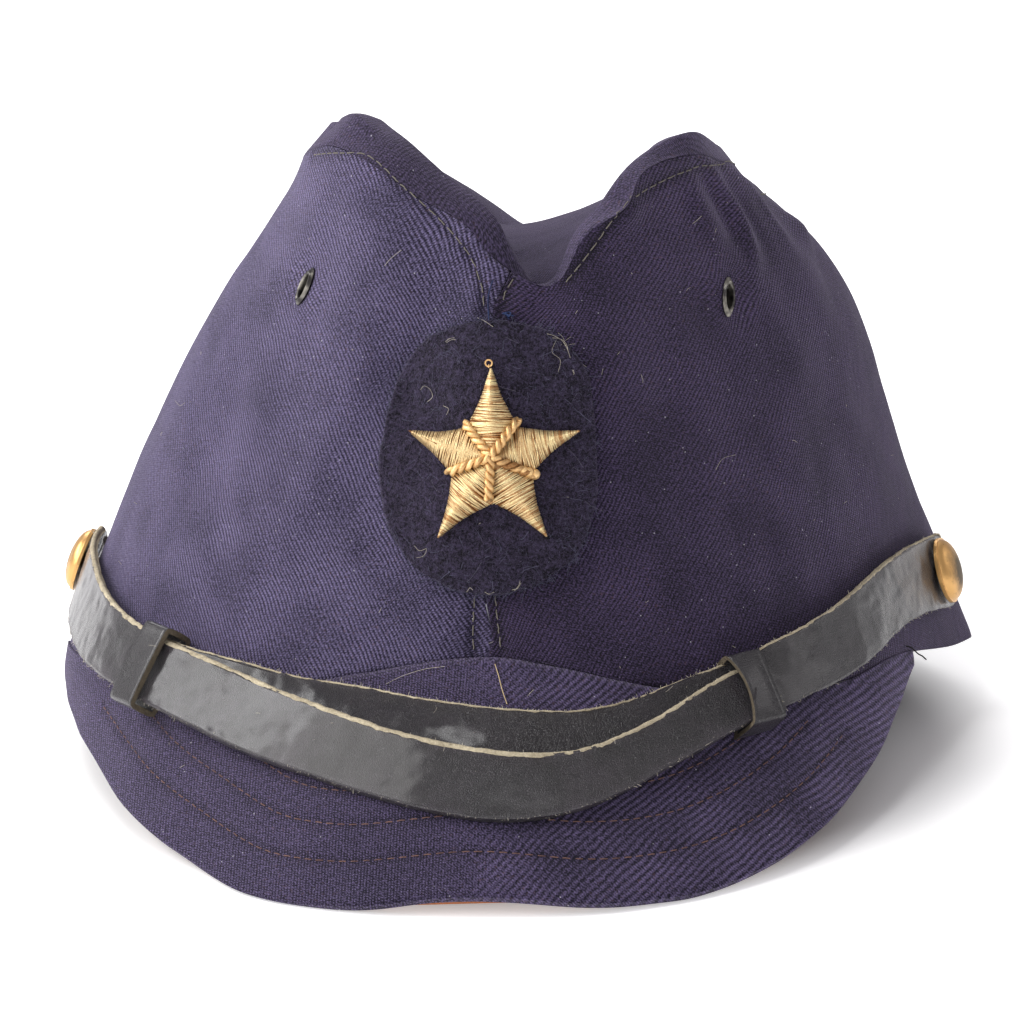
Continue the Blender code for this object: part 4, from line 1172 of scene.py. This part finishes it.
def add_wire(badge, tip, out):
    """The thin wire ring over the star's upper tip, and the wire that leads down to it."""
    ring = seen(badge, *STAR_RING)[0]
    loops = []
    for size in WIRE_LOOPS:
        loops.append([ring + (out * 0.7 + turned(out, step * 20) * size) * MM for step in range(19)])
    neck = [ring.lerp(tip, share) + out * 0.6 * MM for share in (0.3, 0.6, 0.9, 1.2)]
    show_threads("star_wire", [*loops, neck], WIRE_RADIUS, "gold_cord", "gold_thread")


def add_knobs(badge, out):
    shape = bmesh.new()
    for spot, size in STAR_KNOBS:
        place = Matrix.Translation(seen(badge, *spot)[0] + out * 0.9 * MM)
        bmesh.ops.create_icosphere(shape, subdivisions=3, radius=size * MM, matrix=place)
    knobs = mesh_from(shape, "star_knobs")
    knobs.shade_smooth()
    set_mark(knobs, "tint", [0.8] * len(knobs.vertices))
    show("star_knobs", knobs, ["gold_cord"], "gold_thread")


def slim_arms(mesh, centre, tips, out):
    """Draws the star's arms in towards their middles, most near the tips."""
    axes = [((tip - centre).normalized(), (tip - centre).length) for tip in tips]
    for vert in mesh.vertices:
        spot = vert.co - centre
        axis, length = max(axes, key=lambda pair: spot.dot(pair[0]))
        along = spot.dot(axis) / length
        if along > SLIM_FROM:
            side = out.cross(axis).normalized()
            share = min((along - SLIM_FROM) / SLIM_OVER, 1.0)
            vert.co -= side * spot.dot(side) * SLIM_BY * share * share * (3 - 2 * share)


def turned(out, degrees):
    """A direction at an angle round the direction out of the badge."""
    side = Vector((1.0, 0.0, 0.0))
    side = (side - side.dot(out) * out).normalized()
    turn = math.radians(degrees)
    return side * math.cos(turn) + out.cross(side) * math.sin(turn)


def wrap(surface, centre, across, out, reach):
    """A thread laid over the star between two limits on either side of an arm's middle."""
    step = 0.1 * MM
    hits = []
    for number in range(math.ceil(reach[0] / step), math.floor(reach[1] / step) + 1):
        hit = surface.ray_cast(centre + across * number * step + out * 12 * MM, -out, 30 * MM)[0]
        if hit:
            hits.append(hit)
    if len(hits) < 3:
        return []
    keys = [hits[round(share * (len(hits) - 1))] for share in (0, 0.1, 0.25, 0.42, 0.58, 0.75, 0.9, 1)]
    path = [key + out * 0.10 * MM for key in keys]
    return [[path[0] - out * 0.6 * MM, *path, path[-1] - out * 0.6 * MM]]


def twist(path, out):
    """The two strands of a cord, which wind round a path."""
    strands = []
    last = len(path) - 1
    for start in (0.0, 0.5):
        strand = []
        for number, point in enumerate(path):
            ahead = path[min(number + 1, last)] - path[max(number - 1, 0)]
            side = ahead.cross(out).normalized()
            up = side.cross(ahead).normalized()
            turn = 2 * math.pi * (start + STRAND_TURNS * number / last)
            strand.append(point + (side * math.cos(turn) + up * math.sin(turn)) * STRAND_OFFSET)
        strands.append(strand)
    return strands


# Strap and metal


def add_strap():
    for side in SIDES:
        gloss, raw = PLIES[side]
        node = "strap_" + side
        mesh = smooth_copy("leather_" + node, node, 3)
        ruffle(mesh, 0.22 * MM, 160.0)
        ruffle(mesh, 0.12 * MM, 420.0)
        set_mark(mesh, "edge", near_rows(mesh, [outer_loop(node)], RUBBED_EDGE))
        for face in mesh.polygons:
            if face.normal.z < LOWER_EDGE:
                face.material_index = 0
        show("leather_" + node, mesh, [gloss, "raw_leather"], "black_leather", node)
        add_raw_edge("raw_edge_" + side, node, mesh, raw * MM)
        node = "keeper_" + side
        mesh = smooth_copy("leather_" + node, node, 3, bend=60.0, skin=False)
        paint_ends(mesh)
        if side == "right":
            bow(mesh)
        show("leather_" + node, mesh, ["leather_back", "keeper_edge"], "black_leather", node)


def add_raw_edge(name, node, mesh, radius):
    """The pale cut edge along the top of a strap, with the fibres that stand up from it."""
    surface = surface_of(mesh)
    loop = outer_loop(node)
    loop = even_path(loop + loop[:1], 1.0 * MM)
    upper = []
    fuzz = []
    edge = []
    for before, point, after in zip(loop, loop[1:], loop[2:]):
        normal = surface.find_nearest(point)[1]
        outward = (after - before).cross(normal).normalized()
        edge.append(point - normal * radius * 0.8 + jitter(0.05) * MM)
        upper.append(outward.z > UPPER_EDGE)
        for _ in range(4 if upper[-1] else 1):
            root = point.lerp(after, chance.random()) - normal * chance.uniform(0.0, 0.6) * MM
            side = outward * chance.uniform(-0.5, 1.0) + normal * chance.uniform(-0.2, 1.0)
            side += jitter(0.35)
            fuzz.append([root, root + side * 0.2 * MM, root + side * chance.uniform(0.3, 0.7) * MM])
    runs = runs_of(edge, upper)
    show_threads(name, runs, radius, "raw_leather", "black_leather", sides=2)
    show_threads(name + "_fuzz", fuzz, 0.045 * MM, "lint", "black_leather", sides=0)


def bow(mesh):
    """Bends the open side of the right keeper and draws it snug round the strap, as in the picture."""
    along, across = picture_axes(KEEPER_RISE)
    middle = middle_of(mesh)
    spots = [((vert.co - middle).dot(along), (vert.co - middle).dot(across)) for vert in mesh.vertices]
    top = max(high for _, high in spots)
    bottom = min(high for _, high in spots)
    for vert, (far, high) in zip(mesh.vertices, spots):
        part = (top - high) / (top - bottom)
        open_side = min(max(0.5 - far / KEEPER_WIDTH, 0.0), 1.0)
        bent = KEEPER_BOW * 4 * part * (1 - part) * open_side
        leaned = KEEPER_LEAN * part * (KEEPER_STAYS + (1 - KEEPER_STAYS) * open_side)
        vert.co += along * (bent - leaned) + across * high * (KEEPER_SNUG - 1)


def paint_ends(mesh):
    """The raw material for the faces that look along a keeper's opening."""
    flat = (TO_RIM @ middle_of(mesh)).to_2d()
    along = REST.to_3x3() @ Vector((-flat.y, flat.x, 0.0)).normalized()
    for face in mesh.polygons:
        face.material_index = 1 if abs(face.normal.dot(along)) > 0.8 else 0


def add_metal():
    for side in SIDES:
        node = "button_" + side
        mesh = smooth_copy("brass_" + node, node, 3, bend=50.0, skin=False)
        middle = middle_of(mesh)
        out = (middle - REST @ BUTTON_LEVEL).normalized()
        spans = [((vert.co - middle) - (vert.co - middle).dot(out) * out).length for vert in mesh.vertices]
        widest = max(spans)
        set_mark(mesh, "crown", [1 - span / widest for span in spans])
        show("brass_" + node, mesh, ["brass"], "aged_brass", node)
        node = "eyelet_" + side
        mesh = smooth_copy("iron_" + node, node, 2, bend=50.0, skin=False)
        crush(mesh, middle_of(mesh), EYELETS[side], math.inf)
        show("iron_" + node, mesh, ["iron"], "blackened_metal", node)


def middle_of(mesh):
    return sum((vert.co for vert in mesh.vertices), Vector()) / len(mesh.vertices)


def crush(mesh, middle, pressed, reach):
    """Presses a mesh narrow round a place, all of it within a reach and less beyond that."""
    tilt, narrow, tall = pressed
    long_way = picture_axes(-tilt)[1]
    radial = (middle - REST @ HEAD).normalized()
    long_way = (long_way - long_way.dot(radial) * radial).normalized()
    short_way = long_way.cross(radial)
    for vert in mesh.vertices:
        spot = vert.co - middle
        share = min(max(1 - (spot.length / reach - 1) / VENT_FADES, 0.0), 1.0)
        vert.co += short_way * spot.dot(short_way) * (narrow - 1) * share
        vert.co += long_way * spot.dot(long_way) * (tall - 1) * share


def add_loose_hairs(surface):
    paths = [curved_path(seen_path(surface, curl, 0.25 * MM), 5) for curl in CURLS]
    for _ in range(LINT_NUMBER):
        spot, normal = seen(surface, chance.uniform(*LINT_COLUMNS), chance.uniform(*LINT_ROWS))
        if spot is None:
            continue
        bend = jitter(0.5) * MM
        lean = jitter(0.6) * MM
        paths.append([spot + lean * part + bend * part * part + normal * 0.15 * MM for part in (0, 0.5, 1)])
    show_threads("lint", paths, 0.04 * MM, "lint", "navy_twill", sides=0)
    pale = curved_path(seen_path(surface, LOOSE_THREAD, 0.3 * MM), 5)
    show_threads("loose_thread", [pale], 0.10 * MM, "tan_thread", "navy_twill")
    right, up = picture_axes()
    start = seen(surface, *REAR_THREAD)[0]
    hanging = [start + (right * across - up * down) * MM for across, down in REAR_STEPS]
    dark = [curved_path(hanging), seen_path(surface, KEEPER_STITCH, 0.1 * MM)]
    show_threads("dark_threads", dark, 0.16 * MM, "black_thread", "navy_twill")


add_crown()
add_visor()
add_badge()
add_strap()
add_metal()
shown = [piece.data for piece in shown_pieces() if piece.name.startswith(("wool", "felt_patch", "leather"))]
add_loose_hairs(surface_of(*shown))
add_studio()
add_camera()
